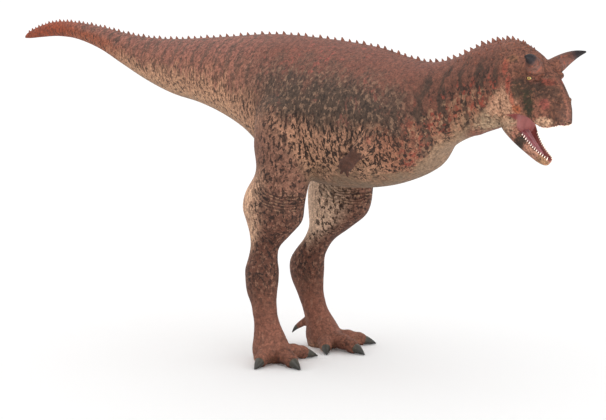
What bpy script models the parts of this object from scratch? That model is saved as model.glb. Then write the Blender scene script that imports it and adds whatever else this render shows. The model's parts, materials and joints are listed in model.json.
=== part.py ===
"""A life-size Carnotaurus, standing still with its mouth open, as separate closed body parts.

Metres, +Z up, the head towards +X and the animal's left side towards +Y. Sizes are first given for
a straight animal whose hips stand over x = 0; pose() then bends its neck and tail a little, and the
last step sets the middle of the whole animal's footprint on the origin.
"""

import math

import bmesh
import bpy
import numpy as np
from mathutils import Vector

# The slit between two body parts, and how far a root sinks into what it grows from
GAP = 0.0004
ROOT = 0.02

# The bend of the neck and tail
NECK_BEND = (1.90, 2.40)
HEAD_YAW = math.radians(8)
HEAD_ROLL = math.radians(4)
ROLL_HEIGHT = 2.60
TAIL_BEND_FROM = -1.2
TAIL_BEND_SPAN = 3.9
TAIL_SWAY = 0.14

# Trunk sections from the tail tip to the skull: x, top, underside, half width, back sharpness
TRUNK = (
    (-5.140, 3.226, 3.188, 0.012, 1.0),
    (-5.060, 3.264, 3.184, 0.030, 1.0),
    (-4.730, 3.332, 3.192, 0.056, 1.0),
    (-4.330, 3.366, 3.190, 0.078, 1.0),
    (-3.870, 3.332, 3.140, 0.094, 1.0),
    (-3.350, 3.256, 3.004, 0.120, 1.0),
    (-2.880, 3.168, 2.820, 0.158, 1.05),
    (-2.420, 3.107, 2.640, 0.200, 1.1),
    (-1.970, 3.081, 2.500, 0.250, 1.15),
    (-1.500, 3.078, 2.406, 0.305, 1.2),
    (-1.080, 3.080, 2.280, 0.350, 1.25),
    (-0.700, 3.086, 2.112, 0.392, 1.25),
    (-0.300, 3.069, 1.850, 0.445, 1.25),
    (0.100, 3.026, 1.695, 0.490, 1.25),
    (0.480, 2.977, 1.658, 0.520, 1.25),
    (0.850, 2.912, 1.676, 0.512, 1.2),
    (1.150, 2.829, 1.742, 0.462, 1.15),
    (1.400, 2.777, 1.848, 0.372, 1.1),
    (1.580, 2.783, 2.024, 0.280, 1.05),
    (1.760, 2.824, 2.118, 0.230, 1.0),
    (1.960, 2.896, 2.178, 0.207, 0.95),
    (2.160, 2.930, 2.236, 0.197, 0.95),
    (2.320, 2.935, 2.300, 0.190, 0.95),
    (2.420, 2.892, 2.330, 0.186, 0.95),
)
WIDEST_LEVEL = 0.44
BELLY_FULLNESS = 0.85
HEAD_BACK = 2.30
# Trunk parts: first x, last x, sections, sides; each end moves to midway between two spines
TRUNK_PARTS = {
    "tail_tip": (-5.14, -3.70, 12, 14),
    "tail_mid": (-3.70, -2.25, 10, 18),
    "tail_base": (-2.25, -0.86, 10, 24),
    "torso": (-0.86, 1.50, 20, 28),
    "neck": (1.50, HEAD_BACK, 10, 26),
}

# Skull sections: x, top, lip, half width, roof boxiness, palate height over the lip
SKULL = (
    (2.300, 2.935, 2.350, 0.190, 0.95, 0.00),
    (2.370, 2.918, 2.344, 0.190, 0.92, 0.00),
    (2.440, 2.882, 2.352, 0.186, 0.90, 0.02),
    (2.500, 2.848, 2.338, 0.176, 0.88, 0.05),
    (2.555, 2.812, 2.320, 0.162, 0.84, 0.06),
    (2.605, 2.766, 2.276, 0.148, 0.78, 0.07),
    (2.655, 2.718, 2.246, 0.134, 0.74, 0.07),
    (2.705, 2.662, 2.240, 0.121, 0.72, 0.06),
    (2.752, 2.596, 2.246, 0.107, 0.74, 0.05),
    (2.792, 2.530, 2.254, 0.092, 0.80, 0.04),
    (2.818, 2.476, 2.264, 0.073, 0.85, 0.03),
    (2.832, 2.438, 2.278, 0.052, 0.85, 0.01),
    (2.839, 2.400, 2.300, 0.028, 0.90, 0.00),
)
SKULL_SECTIONS = 17
SKULL_SIDES = 26
SKULL_WIDEST = 0.42
LIP_ROLL = 12
HOLLOW_FROM = 0.74

# The jaw hangs open from its joint
JAW_JOINT = (2.285, 2.335)
JAW_DROP = math.radians(41)
# Jaw sections along its own length: distance, rim height, underside, half width, trough depth
JAW = (
    (0.000, 0.045, -0.130, 0.148, 0.030),
    (0.060, 0.036, -0.143, 0.146, 0.040),
    (0.159, 0.010, -0.150, 0.124, 0.048),
    (0.246, -0.016, -0.147, 0.098, 0.046),
    (0.348, -0.029, -0.135, 0.074, 0.040),
    (0.430, -0.026, -0.121, 0.057, 0.034),
    (0.470, -0.020, -0.107, 0.046, 0.026),
    (0.494, -0.022, -0.094, 0.033, 0.014),
    (0.510, -0.036, -0.076, 0.015, 0.000),
)
JAW_SECTIONS = 13
JAW_SIDES = 20
# Tongue sections: distance along the jaw, rise over the rim, half width
TONGUE = (
    (0.120, -0.004, 0.052),
    (0.170, -0.004, 0.056),
    (0.250, -0.016, 0.047),
    (0.340, -0.028, 0.036),
    (0.415, -0.032, 0.018),
)
TONGUE_THICKNESS = 0.080
# The flesh that fills the back of the mouth, as a fan about the jaw's joint
LINING_SWEEP = (math.radians(14), math.radians(-52))
LINING_REACH = 0.175
LINING_HOLLOW = 0.030
LINING_HALF = 0.128

TOOTH_LENGTH = 0.015
TOOTH_RADIUS = 0.0075
UPPER_TEETH = (2.595, 2.818, 11)
LOWER_TEETH = (0.215, 0.482, 12)

HORN_BASE = Vector((2.615, 0.116, 2.710))
HORN_TIP = Vector((2.735, 0.347, 2.810))
HORN_RADIUS = 0.072
HORN_SAG = 0.022
HORN_START = -0.30
HORN_BOSS = 0.22

EYE = Vector((2.600, 0.148, 2.636))
EYE_RADIUS = 0.029
# Raised forms of the face: centre, half sizes
FACE_FORMS = (
    ((2.610, 0.104, 2.676), (0.080, 0.060, 0.042)),
    ((2.676, 0.090, 2.640), (0.046, 0.036, 0.032)),
    ((2.600, 0.116, 2.602), (0.056, 0.044, 0.024)),
    ((2.420, 0.124, 2.530), (0.096, 0.080, 0.155)),
    ((2.790, 0.048, 2.446), (0.042, 0.034, 0.032)),
)
NOSTRIL = Vector((2.808, 0.080, 2.444))
NOSTRIL_SIZE = (0.017, 0.020, 0.012)
EAR = Vector((2.400, 0.206, 2.590))
EAR_SIZE = (0.013, 0.022, 0.020)

# Leg sections from the hip down: height, x, outward y, half depth, half width
RIGHT_LEG = (
    (2.640, 0.020, 0.160, 0.240, 0.150),
    (2.400, 0.020, 0.310, 0.340, 0.215),
    (2.050, 0.030, 0.385, 0.335, 0.228),
    (1.800, 0.050, 0.415, 0.295, 0.216),
    (1.600, -0.035, 0.428, 0.330, 0.213),
    (1.450, -0.075, 0.432, 0.345, 0.200),
    (1.330, -0.078, 0.430, 0.312, 0.180),
    (1.200, -0.137, 0.425, 0.225, 0.150),
    (1.080, -0.210, 0.420, 0.157, 0.125),
    (0.960, -0.240, 0.415, 0.156, 0.128),
    (0.860, -0.255, 0.410, 0.180, 0.140),
    (0.760, -0.262, 0.405, 0.177, 0.138),
    (0.640, -0.268, 0.400, 0.164, 0.124),
    (0.520, -0.246, 0.395, 0.130, 0.112),
    (0.360, -0.214, 0.390, 0.124, 0.118),
    (0.220, -0.178, 0.385, 0.164, 0.145),
    (0.110, -0.155, 0.385, 0.200, 0.165),
    (0.030, -0.170, 0.385, 0.172, 0.150),
)
LEFT_LEG = (
    (2.640, 0.020, 0.160, 0.240, 0.150),
    (2.400, 0.020, 0.310, 0.340, 0.215),
    (2.050, 0.040, 0.385, 0.345, 0.228),
    (1.800, 0.040, 0.415, 0.330, 0.220),
    (1.600, -0.032, 0.428, 0.380, 0.215),
    (1.450, -0.058, 0.432, 0.376, 0.200),
    (1.330, -0.093, 0.430, 0.330, 0.185),
    (1.200, -0.183, 0.425, 0.232, 0.155),
    (1.080, -0.310, 0.420, 0.168, 0.130),
    (0.960, -0.418, 0.420, 0.178, 0.130),
    (0.860, -0.478, 0.422, 0.194, 0.142),
    (0.760, -0.491, 0.425, 0.203, 0.140),
    (0.640, -0.484, 0.430, 0.188, 0.126),
    (0.520, -0.450, 0.435, 0.154, 0.114),
    (0.360, -0.385, 0.442, 0.132, 0.124),
    (0.220, -0.305, 0.448, 0.160, 0.150),
    (0.110, -0.272, 0.450, 0.200, 0.166),
    (0.030, -0.285, 0.450, 0.170, 0.146),
)
LEG_SIDES = 20
KNEE_LEVEL = 1.345
HOCK_LEVEL = 0.800
# Leg parts: name, top, bottom, sections
LEG_PARTS = (
    ("thigh", 2.60, KNEE_LEVEL, 12),
    ("shank", KNEE_LEVEL, HOCK_LEVEL, 9),
)
FOOT_SECTIONS = 10

# Toes: name, root (x, outward y), nail root (x, outward y), root radius, end radius
RIGHT_TOES = (
    ("outer", (-0.13, 0.430), (-0.025, 0.660), 0.085, 0.058),
    ("middle", (-0.05, 0.400), (0.225, 0.465), 0.090, 0.060),
    ("inner", (-0.10, 0.320), (-0.005, 0.065), 0.080, 0.056),
)
LEFT_TOES = (
    ("inner", (-0.21, 0.390), (-0.025, 0.220), 0.080, 0.056),
    ("middle", (-0.17, 0.440), (0.205, 0.405), 0.090, 0.060),
    ("outer", (-0.22, 0.510), (-0.020, 0.775), 0.085, 0.058),
)
TOE_SIDES = 12
TOE_PADS = 3
PAD_SWELL = 0.07
CLAW_LENGTH = 0.118
CLAW_CLEARANCE = 0.006
# Hallux: root and claw root, as offsets from the leg's section at this height
HALLUX_LEVEL = 0.27
HALLUX_ROOT = Vector((-0.085, -0.050, 0.0))
HALLUX_END = Vector((-0.222, -0.090, -0.098))
HALLUX_RADII = (0.044, 0.030)

# Arm: shoulder, elbow and wrist on the animal's outside, and the hand's four fingers
ARM_LINE = (
    (Vector((1.230, 0.300, 2.250)), 0.092),
    (Vector((1.160, 0.390, 2.160)), 0.086),
    (Vector((1.085, 0.470, 2.065)), 0.072),
    (Vector((1.020, 0.510, 1.985)), 0.062),
    (Vector((0.970, 0.524, 1.935)), 0.062),
    (Vector((0.928, 0.528, 1.897)), 0.066),
    (Vector((0.895, 0.526, 1.868)), 0.048),
)
ARM_SIDES = 12
FINGER_RADIUS = 0.018
FINGER_LENGTH = 0.074
FINGER_SPREAD = (-56, -6, 36, 76)
HAND_FORWARD = Vector((-0.70, 0.0, -0.72))

# The row of spines along the back: spacing and height at a few places along the animal
SPINE_PITCH = ((-5.0, 0.115), (-2.2, 0.130), (-0.9, 0.122), (0.3, 0.098), (1.5, 0.070), (2.1, 0.054))
SPINE_HEIGHT = ((-5.0, 0.022), (-3.0, 0.034), (0.0, 0.030), (1.5, 0.032), (2.1, 0.050), (2.5, 0.024))
SPINE_FROM = -5.02
SPINE_TO = 2.52
SPINE_WIDTH = 0.62
SPINE_ROOM = 0.42
SPINE_LEAN = 0.16

COLOURS = {
    "skin": ("8A5F52", 0.72),
    "mouth": ("93595C", 0.42),
    "eye": ("C9A23C", 0.12),
    "horn": ("5A4A3E", 0.50),
    "claw": ("3A382E", 0.38),
}


def smooth_step(t):
    """0 below t = 0, 1 above t = 1, and an even S between."""
    t = min(1.0, max(0.0, t))
    return t * t * (3 - 2 * t)


def reading(rows, at):
    """The sizes at one place, on a smooth curve through rows sorted by their first column."""
    table = np.array(rows, float)
    if table[0, 0] > table[-1, 0]:
        table = table[::-1]
    keys = table[:, 0]
    i = int(np.clip(np.searchsorted(keys, at) - 1, 0, len(keys) - 2))
    step = keys[i + 1] - keys[i]
    t = (at - keys[i]) / step

    def slope(k):
        low, high = max(0, k - 1), min(len(keys) - 1, k + 1)
        return (table[high] - table[low]) / (keys[high] - keys[low])

    start, end = table[i], table[i + 1]
    lift = start * (2 * t**3 - 3 * t**2 + 1) + end * (3 * t**2 - 2 * t**3)
    return lift + step * (slope(i) * (t**3 - 2 * t**2 + t) + slope(i + 1) * (t**3 - t**2))


def pose(point):
    """A point of the straight animal, where the bent neck and tail carry it."""
    x, y, z = point
    if x < TAIL_BEND_FROM:
        return Vector((x, y + TAIL_SWAY * ((TAIL_BEND_FROM - x) / TAIL_BEND_SPAN) ** 2, z))
    first, last = NECK_BEND
    t = (x - first) / (last - first)
    turn, roll = HEAD_YAW * smooth_step(t), HEAD_ROLL * smooth_step(t)
    inside = min(1.0, max(0.0, t))
    drift = (last - first) * HEAD_YAW * (inside**3 - inside**4 / 2)
    beyond = max(0.0, x - last)
    up = z - ROLL_HEIGHT
    height = ROLL_HEIGHT + y * math.sin(roll) + up * math.cos(roll)
    y = y * math.cos(roll) - up * math.sin(roll)
    along = min(x, last) + beyond * math.cos(HEAD_YAW)
    across = y * math.cos(turn) - drift - beyond * math.sin(HEAD_YAW)
    return Vector((along + y * math.sin(turn), across, height))


def along_table(table, x):
    keys, values = zip(*table)
    return float(np.interp(x, keys, values))


def power(value, exponent):
    """A power that keeps the sign."""
    return math.copysign(abs(value) ** exponent, value)


def loft(rings):
    """A closed bmesh through rings of points, its ends closed with flat faces."""
    mesh = bmesh.new()
    loops = [[mesh.verts.new(p) for p in ring] for ring in rings]
    count = len(loops[0])
    for a, b in zip(loops, loops[1:]):
        for i in range(count):
            j = (i + 1) % count
            mesh.faces.new((a[i], a[j], b[j], b[i]))
    mesh.faces.new(loops[0][::-1])
    mesh.faces.new(loops[-1])
    bmesh.ops.recalc_face_normals(mesh, faces=mesh.faces)
    bmesh.ops.triangulate(mesh, faces=mesh.faces)
    return mesh


def grown(mesh):
    """The same form with its whole surface moved out by twice the slit, to cut its neighbours with."""
    mesh.normal_update()
    moves = [v.normal * 2 * GAP * min(2.0, v.calc_shell_factor()) for v in mesh.verts]
    for vertex, move in zip(mesh.verts, moves):
        vertex.co += move
    return mesh


def ellipsoid(centre, sizes, rings=7, sides=10):
    mesh = bmesh.new()
    bmesh.ops.create_uvsphere(mesh, u_segments=sides, v_segments=rings, radius=1.0)
    bmesh.ops.scale(mesh, vec=sizes, verts=mesh.verts)
    bmesh.ops.translate(mesh, vec=centre, verts=mesh.verts)
    return mesh


def spike(base, tip, radius, sides=4, sink=ROOT):
    """A pointed form from a root sunk below base up to tip."""
    axis = (tip - base).normalized()
    turn = axis.to_track_quat("Z", "Y")
    mesh = bmesh.new()
    length = (tip - base).length + sink
    bmesh.ops.create_cone(mesh, cap_ends=True, segments=sides, radius1=radius, radius2=0, depth=length)
    bmesh.ops.translate(mesh, vec=(0, 0, length / 2 - sink), verts=mesh.verts)
    bmesh.ops.rotate(mesh, cent=(0, 0, 0), matrix=turn.to_matrix(), verts=mesh.verts)
    bmesh.ops.translate(mesh, vec=base, verts=mesh.verts)
    return mesh


def tube(line, sides, floor=None):
    """A round closed form along a line of (point, radius), its lowest points kept above a floor."""
    points = [p for p, _ in line]
    rings = []
    for i, (point, radius) in enumerate(line):
        along = (points[min(i + 1, len(line) - 1)] - points[max(i - 1, 0)]).normalized()
        side = along.cross(Vector((0, 0, 1))).normalized()
        up = side.cross(along)
        ring = []
        for k in range(sides):
            angle = 2 * math.pi * k / sides
            p = point + side * radius * math.cos(angle) + up * radius * math.sin(angle)
            if floor is not None:
                p.z = max(p.z, floor)
            ring.append(p)
        rings.append(ring)
    return loft(rings)


def mirrored(mesh):
    bmesh.ops.scale(mesh, vec=(1, -1, 1), verts=mesh.verts)
    bmesh.ops.reverse_faces(mesh, faces=mesh.faces)
    return mesh


def material(kind):
    found = bpy.data.materials.get(kind)
    if found:
        return found
    code, roughness = COLOURS[kind]
    made = bpy.data.materials.new(kind)
    made.use_nodes = True
    shader = made.node_tree.nodes["Principled BSDF"]
    levels = [int(code[i : i + 2], 16) / 255 for i in (0, 2, 4)]
    shader.inputs["Base Color"].default_value = [*(level**2.2 for level in levels), 1]
    shader.inputs["Roughness"].default_value = roughness
    return made


def raw_object(name, mesh, posed=True):
    """An object from a bmesh of the straight animal, bent with the rest of it."""
    if posed:
        for vertex in mesh.verts:
            vertex.co = pose(vertex.co)
    data = bpy.data.meshes.new(name)
    mesh.to_mesh(data)
    mesh.free()
    made = bpy.data.objects.new(name, data)
    bpy.context.scene.collection.objects.link(made)
    return made


def apply_boolean(target, tools, operation):
    """Joins or cuts with several closed meshes at once, and removes them."""
    group = bpy.data.collections.new("tools")
    bpy.context.scene.collection.children.link(group)
    for tool in tools:
        bpy.context.scene.collection.objects.unlink(tool)
        group.objects.link(tool)
    step = target.modifiers.new(operation.lower(), "BOOLEAN")
    step.operation = operation
    step.operand_type = "COLLECTION"
    step.collection = group
    step.solver = "EXACT"
    step.use_self = False
    graph = bpy.context.evaluated_depsgraph_get()
    result = bpy.data.meshes.new_from_object(target.evaluated_get(graph))
    target.modifiers.clear()
    target.data = result
    for tool in list(group.objects):
        bpy.data.objects.remove(tool)
    bpy.data.collections.remove(group)


def cut_by(target, neighbours):
    """Takes a part's neighbours out of it, each a slit larger than it is."""
    apply_boolean(target, [raw_object("cut", grown(mesh)) for mesh in neighbours], "DIFFERENCE")


def keep_largest(target):
    """Drops every closed surface of an object but the one with the most volume."""
    mesh = bmesh.new()
    mesh.from_mesh(target.data)
    bmesh.ops.remove_doubles(mesh, verts=mesh.verts, dist=1e-6)
    islands, seen = [], set()
    for face in mesh.faces:
        if face in seen:
            continue
        stack, island = [face], []
        seen.add(face)
        while stack:
            current = stack.pop()
            island.append(current)
            for edge in current.edges:
                for other in edge.link_faces:
                    if other not in seen:
                        seen.add(other)
                        stack.append(other)
        islands.append(island)

    def volume(island):
        total = 0.0
        for face in island:
            a = face.verts[0].co
            for b, c in zip(face.verts[1:-1], face.verts[2:]):
                total += a.dot(b.co.cross(c.co)) / 6
        return abs(total)

    islands.sort(key=volume, reverse=True)
    loose = [face for island in islands[1:] for face in island]
    bmesh.ops.delete(mesh, geom=loose, context="FACES")
    mesh.to_mesh(target.data)
    mesh.free()


def finish(target, kind, parent):
    """Gives a part its material, smooth shading and parent."""
    keep_largest(target)
    target.data.materials.clear()
    target.data.materials.append(material(kind))
    target.data.shade_smooth()
    target.data.set_sharp_from_angle(angle=math.radians(50))
    target.parent = parent
    return target


def trunk_ring(x, sides):
    """One upright section of the tail, body or neck."""
    _, top, low, half, sharpness = reading(TRUNK, x)
    centre = low + (top - low) * WIDEST_LEVEL
    ring = []
    for k in range(sides):
        angle = 2 * math.pi * (k + 0.5) / sides
        c, s = math.cos(angle), math.sin(angle)
        reach = power(c, sharpness if s > 0 else BELLY_FULLNESS)
        ring.append(Vector((x, half * reach, centre + s * (top - centre if s > 0 else centre - low))))
    return ring


def spine_places():
    """Where each spine of the back stands, from the tail tip to the head."""
    places, x = [], SPINE_FROM
    while x < SPINE_TO:
        places.append(x)
        x += along_table(SPINE_PITCH, x)
    return places


def parting(x):
    """The place nearest x where one part can end and the next begin without crossing a spine."""
    places = spine_places()
    if x < places[0]:
        return x
    ahead = next(i for i, place in enumerate(places) if place > x)
    return (places[ahead - 1] + places[ahead]) / 2


def trunk_mesh(name):
    first, last, sections, sides = TRUNK_PARTS[name]
    places = np.linspace(parting(first) + GAP, parting(last), sections)
    return loft([trunk_ring(float(x), sides) for x in places])


def hollow(c):
    """How far a section is hollowed between its lips, 0 at them and 1 in the middle."""
    return max(0.0, 1 - (c / HOLLOW_FROM) ** 2)


def skull_ring(x):
    """One upright section of the head: an arched roof, sides, rolled lips and a hollow palate."""
    _, top, lip, half, boxiness, palate = reading(SKULL, min(x, SKULL[-1][0]))
    centre = lip + (top - lip) * SKULL_WIDEST
    ring = []
    for k in range(SKULL_SIDES):
        angle = 2 * math.pi * (k + 0.5) / SKULL_SIDES
        c, s = math.cos(angle), math.sin(angle)
        if s > 0:
            ring.append(Vector((x, half * power(c, boxiness), centre + s * (top - centre))))
        else:
            height = lip + (centre - lip) * abs(c) ** LIP_ROLL + palate * hollow(c)
            ring.append(Vector((x, half * power(c, 0.6), height)))
    return ring


def skull_mesh():
    first, last = parting(HEAD_BACK) + GAP, SKULL[-1][0]
    places = []
    for i in range(SKULL_SECTIONS):
        left = 1 - i / (SKULL_SECTIONS - 1)
        places.append(first + (last - first) * (1 - left**1.35))
    return loft([skull_ring(x) for x in places])


def jaw_point(along, across, up):
    """A point given along the open jaw, in the straight animal."""
    c, s = math.cos(JAW_DROP), math.sin(JAW_DROP)
    return Vector((JAW_JOINT[0] + along * c + up * s, across, JAW_JOINT[1] - along * s + up * c))


def jaw_ring(along):
    """One section of the lower jaw: a keel below and a trough between its rims above."""
    _, rim, low, half, trough = reading(JAW, along)
    centre = (rim * 1.6 + low * 0.4) / 2
    ring = []
    for k in range(JAW_SIDES):
        angle = 2 * math.pi * (k + 0.5) / JAW_SIDES
        c, s = math.cos(angle), math.sin(angle)
        if s > 0:
            up = rim - (rim - centre) * abs(c) ** LIP_ROLL - trough * hollow(c)
            ring.append(jaw_point(along, half * power(c, 0.6), up))
        else:
            ring.append(jaw_point(along, half * power(c, 0.9), centre + s * (centre - low)))
    return ring


def jaw_mesh():
    return loft([jaw_ring(float(along)) for along in np.linspace(JAW[0][0], JAW[-1][0], JAW_SECTIONS)])


def leg_ring(rows, level, side):
    """One level section of a leg."""
    _, x, y, depth, width = reading(rows, level)
    ring = []
    for k in range(LEG_SIDES):
        angle = 2 * math.pi * k / LEG_SIDES
        ring.append(Vector((x + depth * math.cos(angle), side * y + width * math.sin(angle), level)))
    return ring


def leg_mesh(rows, side, top, bottom, sections):
    return loft([leg_ring(rows, float(z), side) for z in np.linspace(top, bottom, sections)])


def back_height(x):
    """The height of the middle of the back, on the faceted trunk or skull."""
    if x < HEAD_BACK:
        ring = trunk_ring(x, 32)
    else:
        ring = skull_ring(x)
    return max(p.z for p in ring)


def spine_meshes(first, last):
    """The spines that stand between two places along the back."""
    made = []
    for number, x in enumerate(spine_places()):
        if not first < x < last:
            continue
        height = along_table(SPINE_HEIGHT, x) * (1.12 if number % 3 == 0 else 0.94)
        radius = min(height * SPINE_WIDTH, along_table(SPINE_PITCH, x) * SPINE_ROOM)
        slope = (back_height(x + 0.03) - back_height(x - 0.03)) / 0.06
        lean = Vector((-slope - SPINE_LEAN, 0, 1)).normalized()
        base = Vector((x, 0, back_height(x) - 0.004))
        depth = base.z - reading(TRUNK, min(x, HEAD_BACK))[2]
        made.append(spike(base, base + lean * height, radius, sink=min(ROOT, 0.45 * depth)))
    return made


def build_trunk(parent):
    for name, (first, last, _, _) in TRUNK_PARTS.items():
        part = raw_object(name, trunk_mesh(name))
        spines = [raw_object("spine", mesh) for mesh in spine_meshes(first, last)]
        apply_boolean(part, spines, "UNION")
        finish(part, "skin", parent)


def horn_line(side, first, last, count):
    """Points and radii along a horn, from the fraction first to the fraction last of its length."""
    line = []
    for i in range(count):
        t = first + (last - first) * i / (count - 1)
        point = HORN_BASE.lerp(HORN_TIP, t)
        point.z += HORN_SAG * math.sin(math.pi * min(1, t))
        point.x += 0.5 * HORN_SAG * math.sin(math.pi * min(1, t))
        point.y *= side
        radius = HORN_RADIUS * (1 - 0.9 * max(t, 0) ** 1.12) * (1.0 if t < 0.97 else 0.72)
        line.append((point, radius))
    return line


def build_horns(parent):
    for side, letter in ((-1, "r"), (1, "l")):
        boss = horn_line(side, HORN_START, HORN_BOSS, 4)
        line = horn_line(side, HORN_BOSS, 1.0, 8)
        root, radius = line[0]
        axis = (boss[-1][0] - boss[-2][0]).normalized()
        line[:1] = [(root + axis * GAP, radius), (root + axis * 0.006, radius)]
        horn = raw_object(f"horn_{letter}", tube(line, 14))
        finish(horn, "horn", parent)


def tooth_meshes_upper():
    made = []
    first, last, count = UPPER_TEETH
    for side in (-1, 1):
        for i in range(count):
            x = first + (last - first) * i / (count - 1)
            _, _, lip, half, _, _ = reading(SKULL, x)
            size = 0.75 + 0.35 * math.sin(2.4 * i + 0.6 + side * 0.3)
            base = Vector((x, side * half * 0.82, lip + 0.010))
            tip = base + Vector((-0.004, -side * 0.002, -TOOTH_LENGTH * size - 0.010))
            made.append(spike(base, tip, TOOTH_RADIUS, sink=0.012))
    return made


def tooth_meshes_lower():
    made = []
    first, last, count = LOWER_TEETH
    for side in (-1, 1):
        for i in range(count):
            along = first + (last - first) * i / (count - 1)
            _, rim, _, half, _ = reading(JAW, along)
            size = 0.75 + 0.3 * math.sin(2.1 * i + side * 0.4)
            base = jaw_point(along, side * half * 0.82, rim - 0.008)
            tip = jaw_point(along - 0.004, side * half * 0.78, rim + TOOTH_LENGTH * size)
            made.append(spike(base, tip, TOOTH_RADIUS, sink=0.012))
    return made


def build_head(parent):
    head = raw_object("head", skull_mesh())
    forms = []
    for centre, sizes in FACE_FORMS:
        forms.append(ellipsoid(centre, sizes, 7, 12))
        forms.append(mirrored(ellipsoid(centre, sizes, 7, 12)))
    for side in (-1, 1):
        forms.append(tube(horn_line(side, HORN_START, HORN_BOSS, 4), 14))
    forms += tooth_meshes_upper()
    forms += spine_meshes(HEAD_BACK, SPINE_TO)
    apply_boolean(head, [raw_object("form", mesh) for mesh in forms], "UNION")
    hollows = []
    for side in (-1, 1):
        eye = Vector((EYE.x, side * EYE.y, EYE.z))
        reach = EYE_RADIUS + GAP
        hollows.append(ellipsoid(eye, (reach,) * 3, 10, 16))
        for place, sizes in ((NOSTRIL, NOSTRIL_SIZE), (EAR, EAR_SIZE)):
            hollows.append(ellipsoid((place.x, side * place.y, place.z), sizes))
    apply_boolean(head, [raw_object("hollow", mesh) for mesh in hollows], "DIFFERENCE")
    finish(head, "skin", parent)


def build_eyes(parent):
    for side, letter in ((-1, "r"), (1, "l")):
        place = Vector((EYE.x, side * EYE.y, EYE.z))
        eye = raw_object(f"eye_{letter}", ellipsoid(place, (EYE_RADIUS,) * 3, 10, 16))
        finish(eye, "eye", parent)


def build_jaw(parent):
    jaw = raw_object("lower_jaw", jaw_mesh())
    cut_by(jaw, [skull_mesh(), trunk_mesh("neck")])
    teeth = [raw_object("tooth", mesh) for mesh in tooth_meshes_lower()]
    apply_boolean(jaw, teeth, "UNION")
    finish(jaw, "skin", parent)


def lining_mesh():
    """The flesh at the back of the open mouth: a fan about the jaw's joint with upright sides."""
    rings = []
    middle, level = JAW_JOINT
    for i in range(7):
        angle = LINING_SWEEP[0] + (LINING_SWEEP[1] - LINING_SWEEP[0]) * i / 6
        reach = LINING_REACH - LINING_HOLLOW * math.sin(math.pi * i / 6)
        ring = []
        for k in range(14):
            turn = 2 * math.pi * (k + 0.5) / 14
            out = 0.02 + (reach - 0.02) * (0.5 + 0.5 * power(math.cos(turn), 0.5))
            across = LINING_HALF * power(math.sin(turn), 0.5)
            ring.append(Vector((middle + out * math.cos(angle), across, level + out * math.sin(angle))))
        rings.append(ring)
    return loft(rings)


def build_mouth(parent):
    lining = raw_object("mouth_lining", lining_mesh())
    cut_by(lining, [jaw_mesh(), skull_mesh(), trunk_mesh("neck")])
    finish(lining, "mouth", parent)
    rings = []
    first, last = TONGUE[0][0], TONGUE[-1][0]
    for along in np.linspace(first, last, 9):
        _, rise, half = reading(TONGUE, float(along))
        ring = []
        for k in range(12):
            angle = 2 * math.pi * k / 12
            up = rise + TONGUE_THICKNESS / 2 * (math.sin(angle) - 1)
            ring.append(jaw_point(float(along), half * math.cos(angle), up))
        rings.append(ring)
    tongue = raw_object("tongue", loft(rings))
    cut_by(tongue, [jaw_mesh(), skull_mesh(), lining_mesh()])
    finish(tongue, "mouth", parent)


def claw_mesh(root, axis, radius, length, bend, floor=None):
    """A curved claw: its root square to the axis it grows along, its tip moved by the bend."""
    line = [(root + axis * GAP, radius)]
    for i in range(6):
        t = i / 5
        point = root + axis * (0.008 + (length - 0.008) * t) + bend * t**1.7
        line.append((point, radius * (1 - 0.86 * t**1.25)))
    return tube(line, 8, floor)


def toe_line(root, end, big, small):
    """A toe's middle line, which swells at its pads and comes down to the floor."""
    start = Vector((root[0], root[1], big * 1.05))
    stop = Vector((end[0], end[1], small * 0.86))
    line = []
    for i in range(9):
        t = i / 8
        swell = 1 + PAD_SWELL * math.cos(2 * math.pi * TOE_PADS * t + math.pi)
        radius = (big + (small - big) * t) * swell
        line.append((start.lerp(stop, t) + Vector((0, 0, 0.014 * math.sin(math.pi * t))), radius))
    return line


def build_foot(letter, side, rows, toes, parent):
    foot = raw_object(f"foot_{letter}", leg_mesh(rows, side, HOCK_LEVEL - GAP, 0.0, FOOT_SECTIONS))
    forms, claws = [], []
    for name, root, end, big, small in toes:
        line = toe_line((root[0], side * root[1]), (end[0], side * end[1]), big, small)
        tip, radius = line[-1]
        axis = (tip - line[-2][0]).normalized()
        bend = Vector((0, 0, CLAW_CLEARANCE + 0.004 - (tip.z + axis.z * CLAW_LENGTH)))
        forms.append(tube(line, TOE_SIDES, 0.0))
        claws.append((name, claw_mesh(tip, axis, radius * 0.86, CLAW_LENGTH, bend, CLAW_CLEARANCE)))
    _, x, y, _, _ = reading(rows, HALLUX_LEVEL)
    joint = Vector((x, side * y, HALLUX_LEVEL))
    start = joint + Vector((HALLUX_ROOT.x, side * HALLUX_ROOT.y, HALLUX_ROOT.z))
    stop = joint + Vector((HALLUX_END.x, side * HALLUX_END.y, HALLUX_END.z))
    hallux = []
    for i in range(5):
        t = i / 4
        hallux.append((start.lerp(stop, t), HALLUX_RADII[0] + (HALLUX_RADII[1] - HALLUX_RADII[0]) * t))
    forms.append(tube(hallux, 10))
    bend = Vector((0.010, 0, -0.020))
    axis = (stop - start).normalized()
    claws.append(("hallux", claw_mesh(stop, axis, HALLUX_RADII[1] * 0.88, 0.085, bend)))
    apply_boolean(foot, [raw_object("form", mesh) for mesh in forms], "UNION")
    finish(foot, "skin", parent)
    for name, claw in claws:
        finish(raw_object(f"claw_{name}_{letter}", claw), "claw", parent)


def build_legs(parent):
    for letter, side, rows, toes in (("r", -1, RIGHT_LEG, RIGHT_TOES), ("l", 1, LEFT_LEG, LEFT_TOES)):
        for name, top, bottom, sections in LEG_PARTS:
            start = top - (GAP if name != "thigh" else 0.0)
            part = raw_object(f"{name}_{letter}", leg_mesh(rows, side, start, bottom, sections))
            if name == "thigh":
                cut_by(part, [trunk_mesh("tail_base"), trunk_mesh("torso")])
            finish(part, "skin", parent)
        build_foot(letter, side, rows, toes, parent)


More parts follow.
